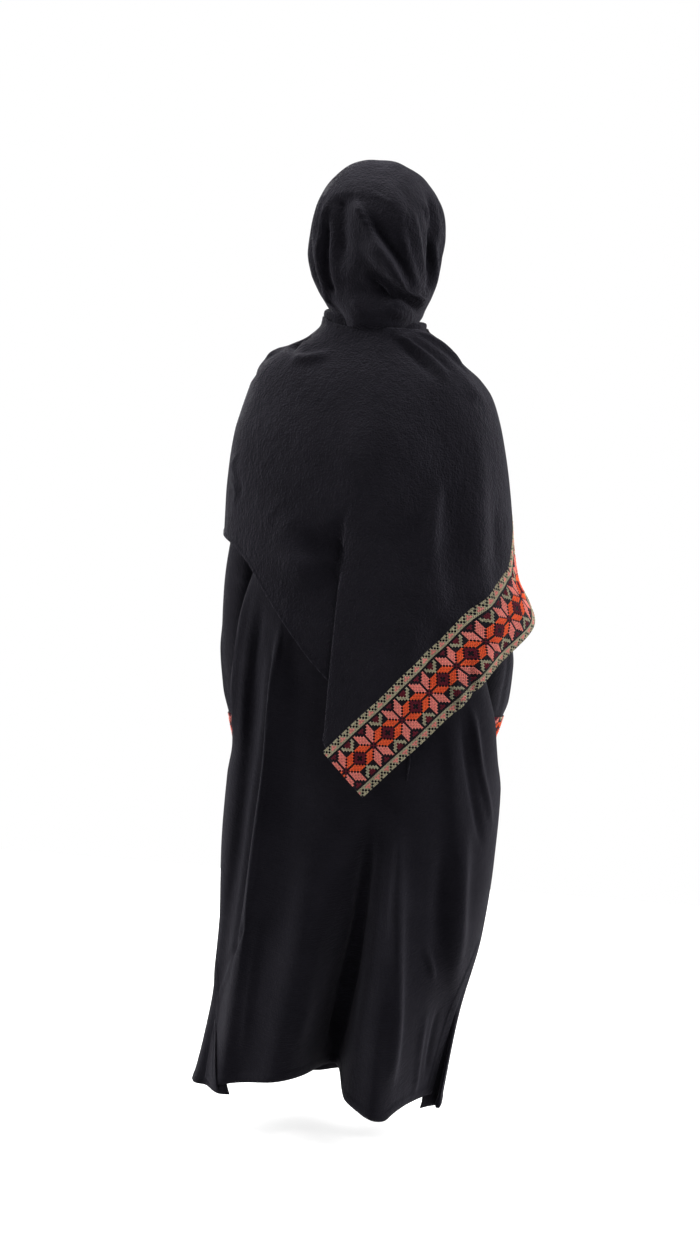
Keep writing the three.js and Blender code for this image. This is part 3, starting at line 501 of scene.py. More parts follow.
def across_band(share, up):
    """The angle and height of the place `up` above the band's lower line, measured square to it."""
    def place(k):
        return fall_at(read(BAND_LINE, "share", "angle", k), read(BAND_LINE, "share", "z", k))

    low = place(share)
    along = unit(place(share + SHARE_STEP) - place(share - SHARE_STEP))
    angle, z = read(BAND_LINE, "share", "angle", share), low[..., 2]
    to_right = fall_at(angle - ANGLE_STEP, z) - fall_at(angle + ANGLE_STEP, z)
    down = fall_at(angle, z - Z_STEP) - fall_at(angle, z + Z_STEP)
    out = unit(np.cross(down, to_right))
    target = low + unit(np.cross(out, along)) * np.asarray(up)[..., None]
    return angle_of(CAPE, target), target[..., 2]


def band_at(share, up):
    """The fall's form at a place of its end band."""
    return fall_at(*across_band(share, up))


LAST_ANGLE = across_band(np.array(1.0), CAD_BAND)[0]


def fall_point(column, t):
    """The back fall: columns 0 to 1 lie left of the pleat, 1 to 2 in it, 2 to 3 right of it, where
    a column ends at the same share of the band's upper line."""
    foot_angle, foot_z = across_band(np.clip(column - 2, 0, 1), CAD_BAND)

    def pleat_end(z):
        return angle_at(CAPE, pleat_at(z)["end"], z)

    across = (foot_angle - pleat_end(foot_z)) / (LAST_ANGLE - pleat_end(foot_z))
    top = read(FALL_TOP, "angle", "z", lerp(pleat_end(np.array(0.0)), LAST_ANGLE, across))
    right_z = height_at(top, foot_z, t)
    right = fall_at(lerp(pleat_end(right_z), LAST_ANGLE, across), right_z)

    def left_angle(z):
        return lerp(FALL_LEFT_ANGLE, angle_at(CAPE, pleat_at(z)["start"], z), np.minimum(column, 1))

    top = read(FALL_TOP, "angle", "z", left_angle(np.zeros_like(column)))
    z = height_at(top, read(LONG_EDGE, "column", "z", column), t)
    pleat = pleat_at(z)
    left = fall_at(left_angle(z), z)
    near = np.where(left[..., 1] > 0, smooth(1 - (left[..., 0] - pleat["start"]) / PLEAT_FADE), 0)
    x, y = pleat_path(pleat, np.maximum(column - 1, 0))
    left = left + vector(x, y - pleat["rise"] * near, 0)
    return np.where((column > 2)[..., None], right, left)


def front_wrap(angle, t):
    """The wrap over the chest follows the fall's form, and lies deeper under the right arm's flap."""
    z = height_at(read(FRONT_WRAP, "angle", "top", angle), read(FRONT_WRAP, "angle", "fall", angle), t)
    tuck = read(FRONT_WRAP, "angle", "tuck", angle) * smooth(z / TUCKED)
    return moved_out(on_section(CAPE, angle, z), -tuck)


def hood_edge(angle):
    """The hood's lower edge: an arch over the face, then nearly straight down its two sides."""
    from_face = 180 - np.abs(angle)
    arch = np.sqrt(np.maximum(1 - (from_face / FACE["half"]) ** 2, 0))
    side = np.clip((from_face - FACE["half"]) / FACE["widening"], 0, 1)
    low = lerp(FACE["cheek"], read(BAG_BOTTOM, "angle", "z", angle), side)
    return np.where(from_face > FACE["half"], low, lerp(FACE["cheek"], FACE["brow"], arch))


DOME = {**HOOD, "z": -np.sqrt(HOOD["z"][0] - HOOD["z"])}   # the hood's table by the root of the drop


def hood_at(angle, z):
    """The hood's rounded sections with its folds; low at the back it bags out over the neck."""
    point = on_section(DOME, angle, -np.sqrt(np.maximum(HOOD["z"][0] - z, 0)))
    bag = read(BAG, "z", "out", z) * read(BAG_SIDES, "angle", "share", angle)
    folds = folds_at(HOOD_FOLDS, angle, z, fades=True)
    return moved_out(vector(point[..., 0], point[..., 1], z), folds + bag) + HOOD_AXIS


def hood_form(angle, t):
    """The hood from its tip down to its lower edge."""
    return hood_at(angle, lerp(HOOD["z"][0], hood_edge(angle), t))


def neck_roll(angle, share):
    """The roll round the neck: up its inner leg, over a half circle, and down its outer leg."""
    inner, outer, top = (read(NECK_ROLL, "angle", name, angle) for name in ("inner", "outer", "top"))
    top = top + read(COLLAR_RISE, "angle", "up", angle)
    radius = (outer - inner) / 2
    turn = np.clip((share - LEG_SHARE) / (1 - 2 * LEG_SHARE), 0, 1) * np.pi
    in_leg = np.maximum(LEG_SHARE - share, share - (1 - LEG_SHARE)) / LEG_SHARE
    leg = NECK_ROLL_LEG * np.maximum(0, in_leg)
    reach = inner + radius * (1 - np.cos(turn))
    z = top - radius + radius * np.sin(turn) - leg
    return vector(reach * np.sin(np.radians(angle)), reach * np.cos(np.radians(angle)), z)


# ---- Making cloth ---------------------------------------------------------------------------
def normals_of(grid, around=False):
    """Outward normals of a grid: each face's diagonals crossed, added up at its corners."""
    wide = np.concatenate([grid, grid[:, :1]], 1) if around else grid
    faces = np.cross(wide[1:, :-1] - wide[:-1, 1:], wide[1:, 1:] - wide[:-1, :-1])
    total = np.zeros_like(wide)
    total[:-1, :-1] += faces
    total[1:, :-1] += faces
    total[:-1, 1:] += faces
    total[1:, 1:] += faces
    if around:
        total[:, 0] += total[:, -1]
        total = total[:, :-1]
    return unit(total)


LINE_POINTS = 13            # points on a crease's line
CREASE_REACH = 3.2          # how many widths away a crease still counts


def line_through(places):
    """A smooth line through three places: the parabola that meets them at its start, middle and end."""
    t = np.linspace(0, 1, LINE_POINTS)[:, None]
    first, middle, last = places
    return first * (1 - t) * (1 - 2 * t) + middle * 4 * t * (1 - t) + last * t * (2 * t - 1)


def near_line(points, normals, line):
    """For each point, the distance to a line, the share of the line there, and the side it lies on:
    -1 towards the wearer's left of a line that runs down, +1 towards the right."""
    best = np.full(len(points), np.inf)
    share, side = np.zeros(len(points)), np.zeros(len(points))
    for k in range(len(line) - 1):
        step = line[k + 1] - line[k]
        length = max(float(step @ step), 1e-9)
        t = np.clip((points - line[k]) @ step / length, 0, 1)
        off = points - line[k] - t[:, None] * step
        distance = np.linalg.norm(off, axis=1)
        closer = distance < best
        best = np.where(closer, distance, best)
        share = np.where(closer, (k + t) / (len(line) - 1), share)
        across = np.einsum("ij,ij->i", np.cross(step, off), normals)
        side = np.where(closer, np.sign(across), side)
    return best, share, side


def creased(grid, creases, place, around=False):
    """The grid moved along its normals by creases: each is a bell curve across a line
    through three places, wider on one side by its lean, that fades in and out along the line."""
    normals = normals_of(grid, around)
    points, away = grid.reshape(-1, 3), normals.reshape(-1, 3)
    total = np.zeros(len(points))
    for row in fold_rows(creases):
        ends = [place(np.array(row["a%d" % k]), np.array(row["z%d" % k])) for k in range(3)]
        line = line_through(ends)
        reach = CREASE_REACH * row["width"] * (1 + abs(row["lean"]))
        inside = ((points > line.min(0) - reach) & (points < line.max(0) + reach)).all(1)
        near = np.flatnonzero(inside)
        distance, share, side = near_line(points[near], away[near], line)
        width = row["width"] * (1 + row["lean"] * side)
        fade = smooth(share / row["in"]) * smooth((1 - share) / row["out"])
        total[near] += row["rise"] * fade * np.exp(-((distance / width) ** 2))
    return grid + normals * total.reshape(grid.shape[:2])[..., None]


WAVES = 9
WAVE_LENGTHS = (0.6, 1.7)   # the shortest and the longest, in sizes
WAVE_UPRIGHT = 0.45         # how much of a wave's run down the cloth is kept


def rumpled(grid, seed, size, depth, around=False):
    """The grid with a slow unevenness: a sum of a few slanted waves of unlike lengths."""
    rng = np.random.default_rng(seed)
    total = np.zeros(grid.shape[:2])
    for _ in range(WAVES):
        way = unit(rng.normal(size=3) * (1, 1, WAVE_UPRIGHT))
        length = size * rng.uniform(*WAVE_LENGTHS)
        total += np.sin(grid @ way * (2 * np.pi / length) + rng.uniform(0, 2 * np.pi))
    return grid + normals_of(grid, around) * (total * depth / math.sqrt(WAVES))[..., None]


def lie_flat(grid, around):
    """Where each point of the grid lies on the flat cloth, in metres: its length along the row from
    the middle column, and its length down the column."""
    wide = np.concatenate([grid, grid[:, :1]], 1) if around else grid
    along = np.cumsum(np.linalg.norm(np.diff(wide, axis=1), axis=-1), 1)
    along = np.concatenate([np.zeros((len(wide), 1)), along], 1)
    along = along - along[:, wide.shape[1] // 2][:, None]
    down = np.cumsum(np.linalg.norm(np.diff(wide, axis=0), axis=-1), 0)
    down = np.concatenate([np.zeros((1, wide.shape[1])), down], 0)
    return np.stack([along, down], -1) * MM


def quads_of(index):
    """The faces of a grid of vertex numbers, each from its upper left corner down and round."""
    return np.stack([index[:-1, :-1], index[1:, :-1], index[1:, 1:], index[:-1, 1:]], -1).reshape(-1, 4)


def mesh_object(name, points, quads, uvs=None, materials=(), kinds=None):
    """A smooth object at the origin that rides the one body.  `kinds` gives each face's material.  A
    quad of which two corners meet is a triangle."""
    keep = quads != np.roll(quads, -1, 1)
    used, numbers = np.unique(quads[keep], return_inverse=True)
    counts = keep.sum(1)
    mesh = bpy.data.meshes.new(name)
    mesh.vertices.add(len(used))
    mesh.vertices.foreach_set("co", (points[used] * MM).astype(np.float32).ravel())
    mesh.loops.add(len(numbers))
    mesh.loops.foreach_set("vertex_index", numbers.astype(np.int32))
    mesh.polygons.add(len(quads))
    starts = np.concatenate([[0], np.cumsum(counts)[:-1]])
    mesh.polygons.foreach_set("loop_start", starts.astype(np.int32))
    if uvs is not None:
        layer = mesh.uv_layers.new(name="cloth")
        layer.data.foreach_set("uv", uvs[keep].astype(np.float32).ravel())
    for material in materials:
        mesh.materials.append(material)
    if kinds is not None:
        mesh.polygons.foreach_set("material_index", kinds.astype(np.int32))
    mesh.update(calc_edges=True)
    mesh.validate()
    mesh.polygons.foreach_set("use_smooth", np.full(len(mesh.polygons), True))
    made = bpy.data.objects.new(name, mesh)
    bpy.context.scene.collection.objects.link(made)
    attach(made, "root")
    return made


def cloth(name, grid, material, around=False, tip=False):
    """A closed shell of cloth: the grid is its outer face, the inner face lies a thickness further in,
    and rims join them.  A piece that goes all round has no side rims, and one with a tip starts
    at a single point."""
    rows, cols = grid.shape[:2]
    away = normals_of(grid, around)
    if tip:
        grid[0], away[0] = grid[0].mean(0), unit(away[1].mean(0))
    points = np.concatenate([grid.reshape(-1, 3), (grid - away * THICK).reshape(-1, 3)])
    outer = np.arange(rows * cols).reshape(rows, cols)
    if tip:
        outer[0] = 0
    flat = lie_flat(grid, around)
    if around:
        outer = np.concatenate([outer, outer[:, :1]], 1)
    inner = outer + rows * cols
    place = np.arange(outer.size).reshape(outer.shape)
    faces = [quads_of(outer), quads_of(inner)[:, ::-1]]
    corners = [quads_of(place), quads_of(place)[:, ::-1]]

    def rim(front, back, spots):
        faces.append(np.stack([front[:-1], back[:-1], back[1:], front[1:]], -1))
        corners.append(np.stack([spots[:-1], spots[:-1], spots[1:], spots[1:]], -1))

    rim(outer[-1], inner[-1], place[-1])
    if not tip:
        rim(outer[0, ::-1], inner[0, ::-1], place[0, ::-1])
    if not around:
        rim(outer[:, 0], inner[:, 0], place[:, 0])
        rim(outer[::-1, -1], inner[::-1, -1], place[::-1, -1])
    uvs = flat.reshape(-1, 2)[np.concatenate(corners)]
    return mesh_object(name, points, np.concatenate(faces), uvs, [material])


# ---- Cross-stitch ---------------------------------------------------------------------------
# One quarter of each motif, charted from the star's middle (first column, first row) to the next
# diamond's middle and to the field's edge.  A dot is bare cloth.
STAR = (
    "m.....mm..",
    ".moooo.mm.",
    ".s.oooo.mm",
    ".ss.oooo.m",
    ".sss.oooo.",
    ".ssss....g",
    ".ssss...gg",
    "..sss..ggm",
    "m..ss.ggmm",
    "mm..s.g.mm",
)
SMALL_STAR = (
    "m....m.",
    ".mooo.m",
    ".s.ooo.",
    ".ss.ooo",
    ".sss...",
    "m.ss..g",
    "mm.s.gg",
)
BORDER = ("gggggg", ".gpppg", "g.gpg.", "gg.g.g")   # from the field outwards
YARNS = "somgp"


def chart_of(quarter, both_borders):
    """The whole chart of a band, from its upper row down, one repeat wide, as yarn numbers.
    The quarter is mirrored about its first row and column, and bare rows part the borders."""
    half = [row + row[-2:0:-1] for row in quarter]
    field = half[:0:-1] + half
    border = [(row * 6)[: len(half[0])] for row in BORDER]
    bare = "." * len(half[0])
    rows = border[::-1] + [bare] + field
    if both_borders:
        rows = rows + [bare] + border
    return np.array([[YARNS.find(mark) for mark in row] for row in rows])


YARN_HALF = 0.72            # half a thread's width
YARN_RISE = (0.55, 0.95)    # how high the lower and the upper thread stand in the middle
YARN_FOOT = 0.15            # how high its ends stand, and how deep its underside lies
YARN_TAPER = 0.75           # how wide its ends are, of its middle
RING_AT = np.array([0.05, 0.5, 0.95])
THREAD_POINTS = 12


def stitches(name, corners, kinds, materials):
    """All of a band's cross-stitches as one mesh.  Each is two threads over a cell's diagonals; a
    thread is three rings of four points, low at its ends and high in its middle.  `corners` holds
    each cell's four corners in order round it, `kinds` its yarn."""
    out = unit(np.cross(corners[:, 1] - corners[:, 3], corners[:, 2] - corners[:, 0]))
    points, faces = [], []
    ring = np.arange(4)
    ahead = (ring + 1) % 4
    tubes = [np.stack([ring, ahead, ahead + 4, ring + 4], 1) + 4 * k for k in (0, 1)]
    sides = np.concatenate(tubes + [np.array([[3, 2, 1, 0], [8, 9, 10, 11]])])
    for thread in (0, 1):
        start, end = corners[:, thread], corners[:, thread + 2]
        middle = start[:, None] + (end - start)[:, None] * RING_AT[None, :, None]
        beside = unit(np.cross(out, end - start))[:, None] * YARN_HALF
        rise = out[:, None] * np.array([YARN_FOOT, YARN_RISE[thread], YARN_FOOT])[None, :, None]
        narrow = np.array([YARN_TAPER, 1, YARN_TAPER])[None, :, None]
        under = out[:, None] * YARN_FOOT
        rings = [middle + beside * narrow, middle + rise, middle - beside * narrow, middle - under]
        points.append(np.stack(rings, 2).reshape(len(corners), THREAD_POINTS, 3))
        faces.append(sides + THREAD_POINTS * thread)
    points = np.concatenate(points, 1)
    quads = np.concatenate(faces)[None] + (np.arange(len(corners)) * 2 * THREAD_POINTS)[:, None, None]
    kinds = np.repeat(kinds, len(quads[0]))
    return mesh_object(name, points.reshape(-1, 3), quads.reshape(-1, 4), None, materials, kinds)


# ---- Shader node groups ---------------------------------------------------------------------
def node_group(name, output, **inputs):
    """A shader node group with a Vector, the given float inputs and one float output."""
    group = bpy.data.node_groups.new(name, "ShaderNodeTree")
    group.interface.new_socket(name="Vector", in_out="INPUT", socket_type="NodeSocketVector")
    for label, value in inputs.items():
        socket = group.interface.new_socket(name=label, in_out="INPUT", socket_type="NodeSocketFloat")
        socket.default_value = value
    group.interface.new_socket(name=output, in_out="OUTPUT", socket_type="NodeSocketFloat")
    return group, group.nodes.new("NodeGroupInput"), group.nodes.new("NodeGroupOutput")


def math_node(group, operation, first, second):
    """A Math node: each operand is a number or another node's socket."""
    node = group.nodes.new("ShaderNodeMath")
    node.operation = operation
    for socket, value in zip(node.inputs, (first, second)):
        if isinstance(value, (int, float)):
            socket.default_value = value
        else:
            group.links.new(value, socket)
    return node.outputs[0]


def stretched(group, vector, scale):
    """The vector with each axis scaled."""
    node = group.nodes.new("ShaderNodeVectorMath")
    node.operation = "MULTIPLY"
    group.links.new(vector, node.inputs[0])
    node.inputs[1].default_value = scale
    return node.outputs[0]


def set_inputs(node, values):
    """Sets a node's inputs by their labels."""
    for label, value in values.items():
        node.inputs[label].default_value = value


def noise(group, vector, scale, detail, rough=0.5):
    """A Noise texture's height."""
    node = group.nodes.new("ShaderNodeTexNoise")
    set_inputs(node, {"Scale": scale, "Detail": detail, "Roughness": rough})
    group.links.new(vector, node.inputs["Vector"])
    return node.outputs["Fac"]


# Noises of each weave: how its axes are stretched, its scale, detail, roughness and share.
CREPE_NOISES = (
    ((1, 1, 1), 2300.0, 1.0, 0.5, 0.4),     # grain
    ((1, 1, 0.5), 210.0, 2.0, 0.6, 1.5),    # crinkle
    ((1, 1, 0.7), 62.0, 2.0, 0.5, 2.2),     # crumple
)
SLUB_NOISES = (
    ((30, 430, 1), 1.0, 2.0, 0.5, 1.0),     # thick threads
    ((90, 1100, 1), 1.0, 1.0, 0.5, 0.6),    # thin threads
    ((900, 90, 1), 1.0, 1.0, 0.5, 0.35),    # threads that run down
)
MOTTLE_SCALE = 14.0
MOTTLE_FROM, MOTTLE_GAIN = 0.35, 3.0        # the noise's value that counts as 0, and its gain above it


def weave_group(noises, total, group, given, result):
    """Ends a weave's node group: its noises added to a total."""
    for stretch, scale, detail, rough, share in noises:
        layer = noise(group, stretched(group, given.outputs["Vector"], stretch), scale, detail, rough)
        total = math_node(group, "ADD", total, math_node(group, "MULTIPLY", layer, share))
    group.links.new(total, result.inputs["Height"])
    return group


def crepe_group():
    """The pebbled face of crepe: cells with a smaller grain over them, on a slow crinkle."""
    group, given, result = node_group("crepe grain", "Height", **{"Grains per metre": 330.0})
    cells = group.nodes.new("ShaderNodeTexVoronoi")
    group.links.new(given.outputs["Vector"], cells.inputs["Vector"])
    group.links.new(given.outputs["Grains per metre"], cells.inputs["Scale"])
    return weave_group(CREPE_NOISES, cells.outputs["Distance"], group, given, result)


def mottle_group():
    """A slow mottling: where the cloth was pressed, brushed or holds dust."""
    group, given, result = node_group("mottle", "Share", Scale=MOTTLE_SCALE)
    wide = noise(group, given.outputs["Vector"], MOTTLE_SCALE, 3.0)
    group.links.new(given.outputs["Scale"], wide.node.inputs["Scale"])
    low = math_node(group, "SUBTRACT", wide, MOTTLE_FROM)
    group.links.new(math_node(group, "MULTIPLY", low, MOTTLE_GAIN), result.inputs["Share"])
    return group


CREPE, MOTTLE = crepe_group(), mottle_group()
# Threads that run round the cloth, unevenly thick.
SLUB = weave_group(SLUB_NOISES, 0.0, *node_group("slub", "Height"))


def placed(tree, group, vector, **values):
    """A node group's output, at the given places and with the given inputs."""
    node = tree.nodes.new("ShaderNodeGroup")
    node.node_tree = group
    tree.links.new(vector, node.inputs["Vector"])
    set_inputs(node, {label.replace("_", " "): value for label, value in values.items()})
    return node.outputs[0]


def ramp(tree, share, colours):
    """A colour ramp through evenly spaced colours."""
    node = tree.nodes.new("ShaderNodeValToRGB")
    tree.links.new(share, node.inputs["Fac"])
    stops = node.color_ramp.elements
    for k, colour in enumerate(colours):
        stop = stops[k] if k < 2 else stops.new(1.0)
        stop.position = k / (len(colours) - 1)
        stop.color = (*colour, 1)
    return node.outputs["Color"]


def new_material(name):
    """A material with its node tree, its shader and its coordinates."""
    material = bpy.data.materials.new(name)
    material.use_nodes = True
    tree = material.node_tree
    shader = tree.nodes["Principled BSDF"]
    coords = tree.nodes.new("ShaderNodeTexCoord")
    return material, tree, shader, coords


def bumped(tree, height, distance, shader):
    """Roughens a shader's face: a height of 1 stands out by the distance, in metres."""
    bump = tree.nodes.new("ShaderNodeBump")
    bump.inputs["Distance"].default_value = distance
    tree.links.new(height, bump.inputs["Height"])
    tree.links.new(bump.outputs["Normal"], shader.inputs["Normal"])


SHEEN_TINT = (0.82, 0.78, 0.94, 1)
CLOTH_LOOK = {
    "Sheen Roughness": 0.5,
    "Sheen Tint": SHEEN_TINT,
    "Specular IOR Level": 0.12,
    "Specular Tint": SHEEN_TINT,
}
YARN_LOOK = {"Roughness": 0.72, "Sheen Weight": 0.02, "Sheen Roughness": 0.6, "Specular IOR Level": 0.08}
DRY, DRY_MOTTLE = 0.86, -0.08   # the cloth's roughness, and how much of it the mottling takes
SLUB_GRAIN = 0.35               # how much crepe grain shows between the slubs


def black_cloth(name, dark, light, sheen, bump, slubbed=False):
    """Black crepe: mottled between two blacks, matt, with a pale sheen at grazing edges."""
    material, tree, shader, coords = new_material(name)
    mottle = placed(tree, MOTTLE, coords.outputs["Object"])
    tree.links.new(ramp(tree, mottle, [dark, light]), shader.inputs["Base Color"])
    dry = math_node(tree, "ADD", math_node(tree, "MULTIPLY", mottle, DRY_MOTTLE), DRY)
    tree.links.new(dry, shader.inputs["Roughness"])
    set_inputs(shader, {"Sheen Weight": sheen, **CLOTH_LOOK})
    grain = placed(tree, CREPE, coords.outputs["Object"])
    if slubbed:
        grain = math_node(tree, "MULTIPLY", grain, SLUB_GRAIN)
        grain = math_node(tree, "ADD", placed(tree, SLUB, coords.outputs["UV"]), grain)
    bumped(tree, grain, bump, shader)
    return material


GOWN_CLOTH = black_cloth(
    "gown_crepe", (0.0033, 0.0031, 0.0049), (0.0045, 0.0042, 0.0064), sheen=0.07, bump=0.0011, slubbed=True
)
SCARF_CLOTH = black_cloth(
    "scarf_crepe", (0.0036, 0.0034, 0.0053), (0.0052, 0.0048, 0.0073), sheen=0.09, bump=0.0013
)


def yarn(name, colour, shaded):
    """Stitching yarn: its colour varies along the band, and fine hairs roughen it."""
    material, tree, shader, coords = new_material(name)
    mottle = placed(tree, MOTTLE, coords.outputs["Object"], Scale=90.0)
    tree.links.new(ramp(tree, mottle, [shaded, colour]), shader.inputs["Base Color"])
    set_inputs(shader, YARN_LOOK)
    hairs = placed(tree, CREPE, coords.outputs["Object"], Grains_per_metre=2600.0)
    bumped(tree, hairs, 0.00012, shader)
    return material


# In the order of YARNS.
YARN_MATERIALS = [
    yarn("salmon_yarn", (0.94, 0.300, 0.250), (0.81, 0.230, 0.187)),
    yarn("orange_yarn", (0.97, 0.140, 0.038), (0.83, 0.097, 0.028)),
    yarn("maroon_yarn", (0.150, 0.006, 0.020), (0.098, 0.004, 0.013)),
    yarn("olive_yarn", (0.480, 0.450, 0.300), (0.350, 0.325, 0.215)),
    yarn("pink_yarn", (0.88, 0.310, 0.275), (0.76, 0.235, 0.205)),
]


# ---- The pieces -----------------------------------------------------------------------------
def laid_out(form, columns, rows):
    """A form's points: a column for each place along, a row for each place down."""
    return form(*np.meshgrid(columns, rows))


HEM_STEP = 3.0              # length over which a turned hem's edge comes down
SLIT_TOP = -985.0           # height of the slits' top
SLIT_START = 25.0           # height over which the slits' hems come up
HEM_ROWS = np.array([1.3, 1.0, 0.75, 0.4])   # where the extra rows about a hem lie, in its widths


def rows_down(upper, lower, hem):
    """Shares down a piece that starts on the shoulder: its own count on the shoulder and below, and
    a few more rows about a hem that takes the given share."""
    foot = SHOULDER["t"][-1]
    shares = [np.linspace(0, foot, upper, endpoint=False), np.linspace(foot, 1, lower), 1 - hem * HEM_ROWS]
    return np.unique(np.concatenate(shares))


def strip_below(grid, width):
    """1 within a width of the grid's last row, measured along its columns, and 0 above."""
    steps = np.linalg.norm(np.diff(grid[::-1], axis=0), axis=-1)
    up = np.concatenate([np.zeros((1, grid.shape[1])), np.cumsum(steps, 0)])[::-1]
    return smooth((width - up) / HEM_STEP + 0.5)


def hemmed(grid, width, rise, where=1.0, slit_top=None):
    """The grid with a turned hem: a strip along its lower edge, and along its sides below the slits'
    top, that stands out by `rise`."""
    strip = strip_below(grid, width) * where
    if slit_top is not None:
        across = grid.transpose(1, 0, 2)
        sides = np.maximum(strip_below(across, width), strip_below(across[::-1], width)[::-1]).T
        strip = np.maximum(strip, sides * smooth((slit_top - grid[..., 2]) / SLIT_START))
    return grid + normals_of(grid) * (rise * strip)[..., None]


def whole_turn(count):
    """Angles once round, from the middle of the front."""
    return np.linspace(180, -180, count, endpoint=False)


NECK_EDGE = 10.0            # height of the neck band
NECK_OVERLAP = 2.0          # how much of it lies inside the panels
NECK_LEAN = 0.25            # how far it leans in as it rises


def neck_edge(angle, t):
    """An upright edge that follows the neckline, just inside the panels."""
    z = neckline(angle)
    rise = NECK_EDGE * (1 - t)
    inside = moved_out(on_section(GOWN, angle, z), -CAD_CLOTH - SEAM - NECK_LEAN * rise)
    return inside + vector(0, 0, rise - NECK_OVERLAP)


CUFF_STAND = 1.9            # how far the cuff's face stands off the sleeve's


def cuff_rows(rows):
    """Rings from one band's width above the sleeve's end, to its end."""
    last = rows["ring"][-1]
    end, before = (vector(rows["outX"][k], rows["y"][k], rows["outZ"][k]) for k in (-1, -2))
    length = np.linalg.norm(end - before)
    return last - CUFF_BAND / length, last


def cuff_at(side, rows, turn, ring):
    """The sleeve's points moved away from the middle of their ring."""
    point = sleeve_point(side, rows, turn, ring)
    ahead, behind = (sleeve_point(side, rows, np.full_like(turn, at), ring) for at in (0, np.pi))
    middle = (ahead + behind) / 2
    return point + unit(point - middle) * CUFF_STAND


def cells_of(grid, around=False):
    """The four corners of each face of a grid, row by row."""
    wide = np.concatenate([grid, grid[:, :1]], 1) if around else grid
    return np.stack([wide[:-1, :-1], wide[1:, :-1], wide[1:, 1:], wide[:-1, 1:]], 2)


def embroidered(name, grid, chart, first, around=False):
    """The stitches on a band whose grid has one face for each stitch."""
    cells = cells_of(grid, around)
    rows, cols = cells.shape[:2]
    marks = chart[:, (np.arange(cols) + first) % chart.shape[1]][:rows]
    sewn = marks >= 0
    return stitches(name, cells[sewn], marks[sewn], YARN_MATERIALS)


def even_shares(form, shares, length):
    """Places along a line at which its length grows by equal steps of about `length`."""
    points = form(shares)
    steps = np.linalg.norm(np.diff(points, axis=0), axis=1)
    run = np.concatenate([[0], np.cumsum(steps)])
    count = int(round(run[-1] / length))
    return np.interp(np.linspace(0, run[-1], count + 1), run, shares)


# ---- Creases ----------------------------------------------------------------------------------
# Three places on each line, as an angle and a height (a ring on the sleeves, a share of its section
# on the roll), its width, how far it stands out (+) or in (-), how much wider it is on its right
# side, and the shares over which it fades.
CREASE_NAMES = "a0 z0 a1 z1 a2 z2 width rise lean in out"
HOOD_CREASES = table(
    CREASE_NAMES,
    (12, 220, -16.5, 126, -81, 42, 9, 14, -0.5, 0.12, 0.12),  # main ridge
    (3, 200, -29, 110, -69.5, 56, 8, -9, 0, 0.25, 0.15),  # its hollow
    (4, 150, -17.5, 104, -67.5, 50, 16, 14, 0.3, 0.3, 0.1),  # broad ridge
    (-4.5, 104, -15.5, 66, -60.5, 40, 8, -12, 0.3, 0.35, 0.25),  # under the broad ridge
    (-3.5, 63, -28.5, 37, -99, 30, 10, 6, 0, 0.4, 0.35),  # nape roll
    (11, 56, 3.5, 38, -1.5, 23, 4, 4, 0, 0.3, 0.3),  # thin nape crease
    (39.5, 197, 35, 133, 36, 52, 8, -11, -0.3, 0.3, 0.12),  # left hollow
    (40.5, 229, 43, 138, 49.5, 40, 5, 8.5, 0, 0.2, 0.08),  # left edge
    (29, 167, 28, 108, 26, 44, 8, 2.5, 0.4, 0.4, 0.3),  # left soft ridge
    (25, 229, 20, 167, 14, 88, 17, -15, 0, 0.16, 0.35),  # hollow over the nape
    (-23, 209, -31.5, 146, -76.5, 48, 4.5, 6, -0.3, 0.2, 0.05),  # right thin ridge
    (-37.5, 218, -44.5, 152, -70, 66, 5.5, 5, 0, 0.25, 0.2),  # right second ridge
    (-28.5, 200, -37.5, 142, -57, 71, 4, -3.5, 0, 0.3, 0.2),  # between them
    (-49.5, 214, -67, 144, -79, 68, 10, -11, 0, 0.25, 0.15),  # right pocket
    (-53.5, 225, -73.5, 141, -94.5, 59, 5, 7.5, -0.2, 0.2, 0.3),  # rim
    (-79.5, 247, -85.5, 164, -90, 76, 7, 5, 0, 0.3, 0.4),  # outer rim
    (1.5, 234, -9, 220, -19.5, 209, 4, 2, 0, 0.4, 0.4),  # short crease
    (14.5, 280, 8, 244, 4, 214, 12, 2, 0, 0.5, 0.3),  # crown ridge
)
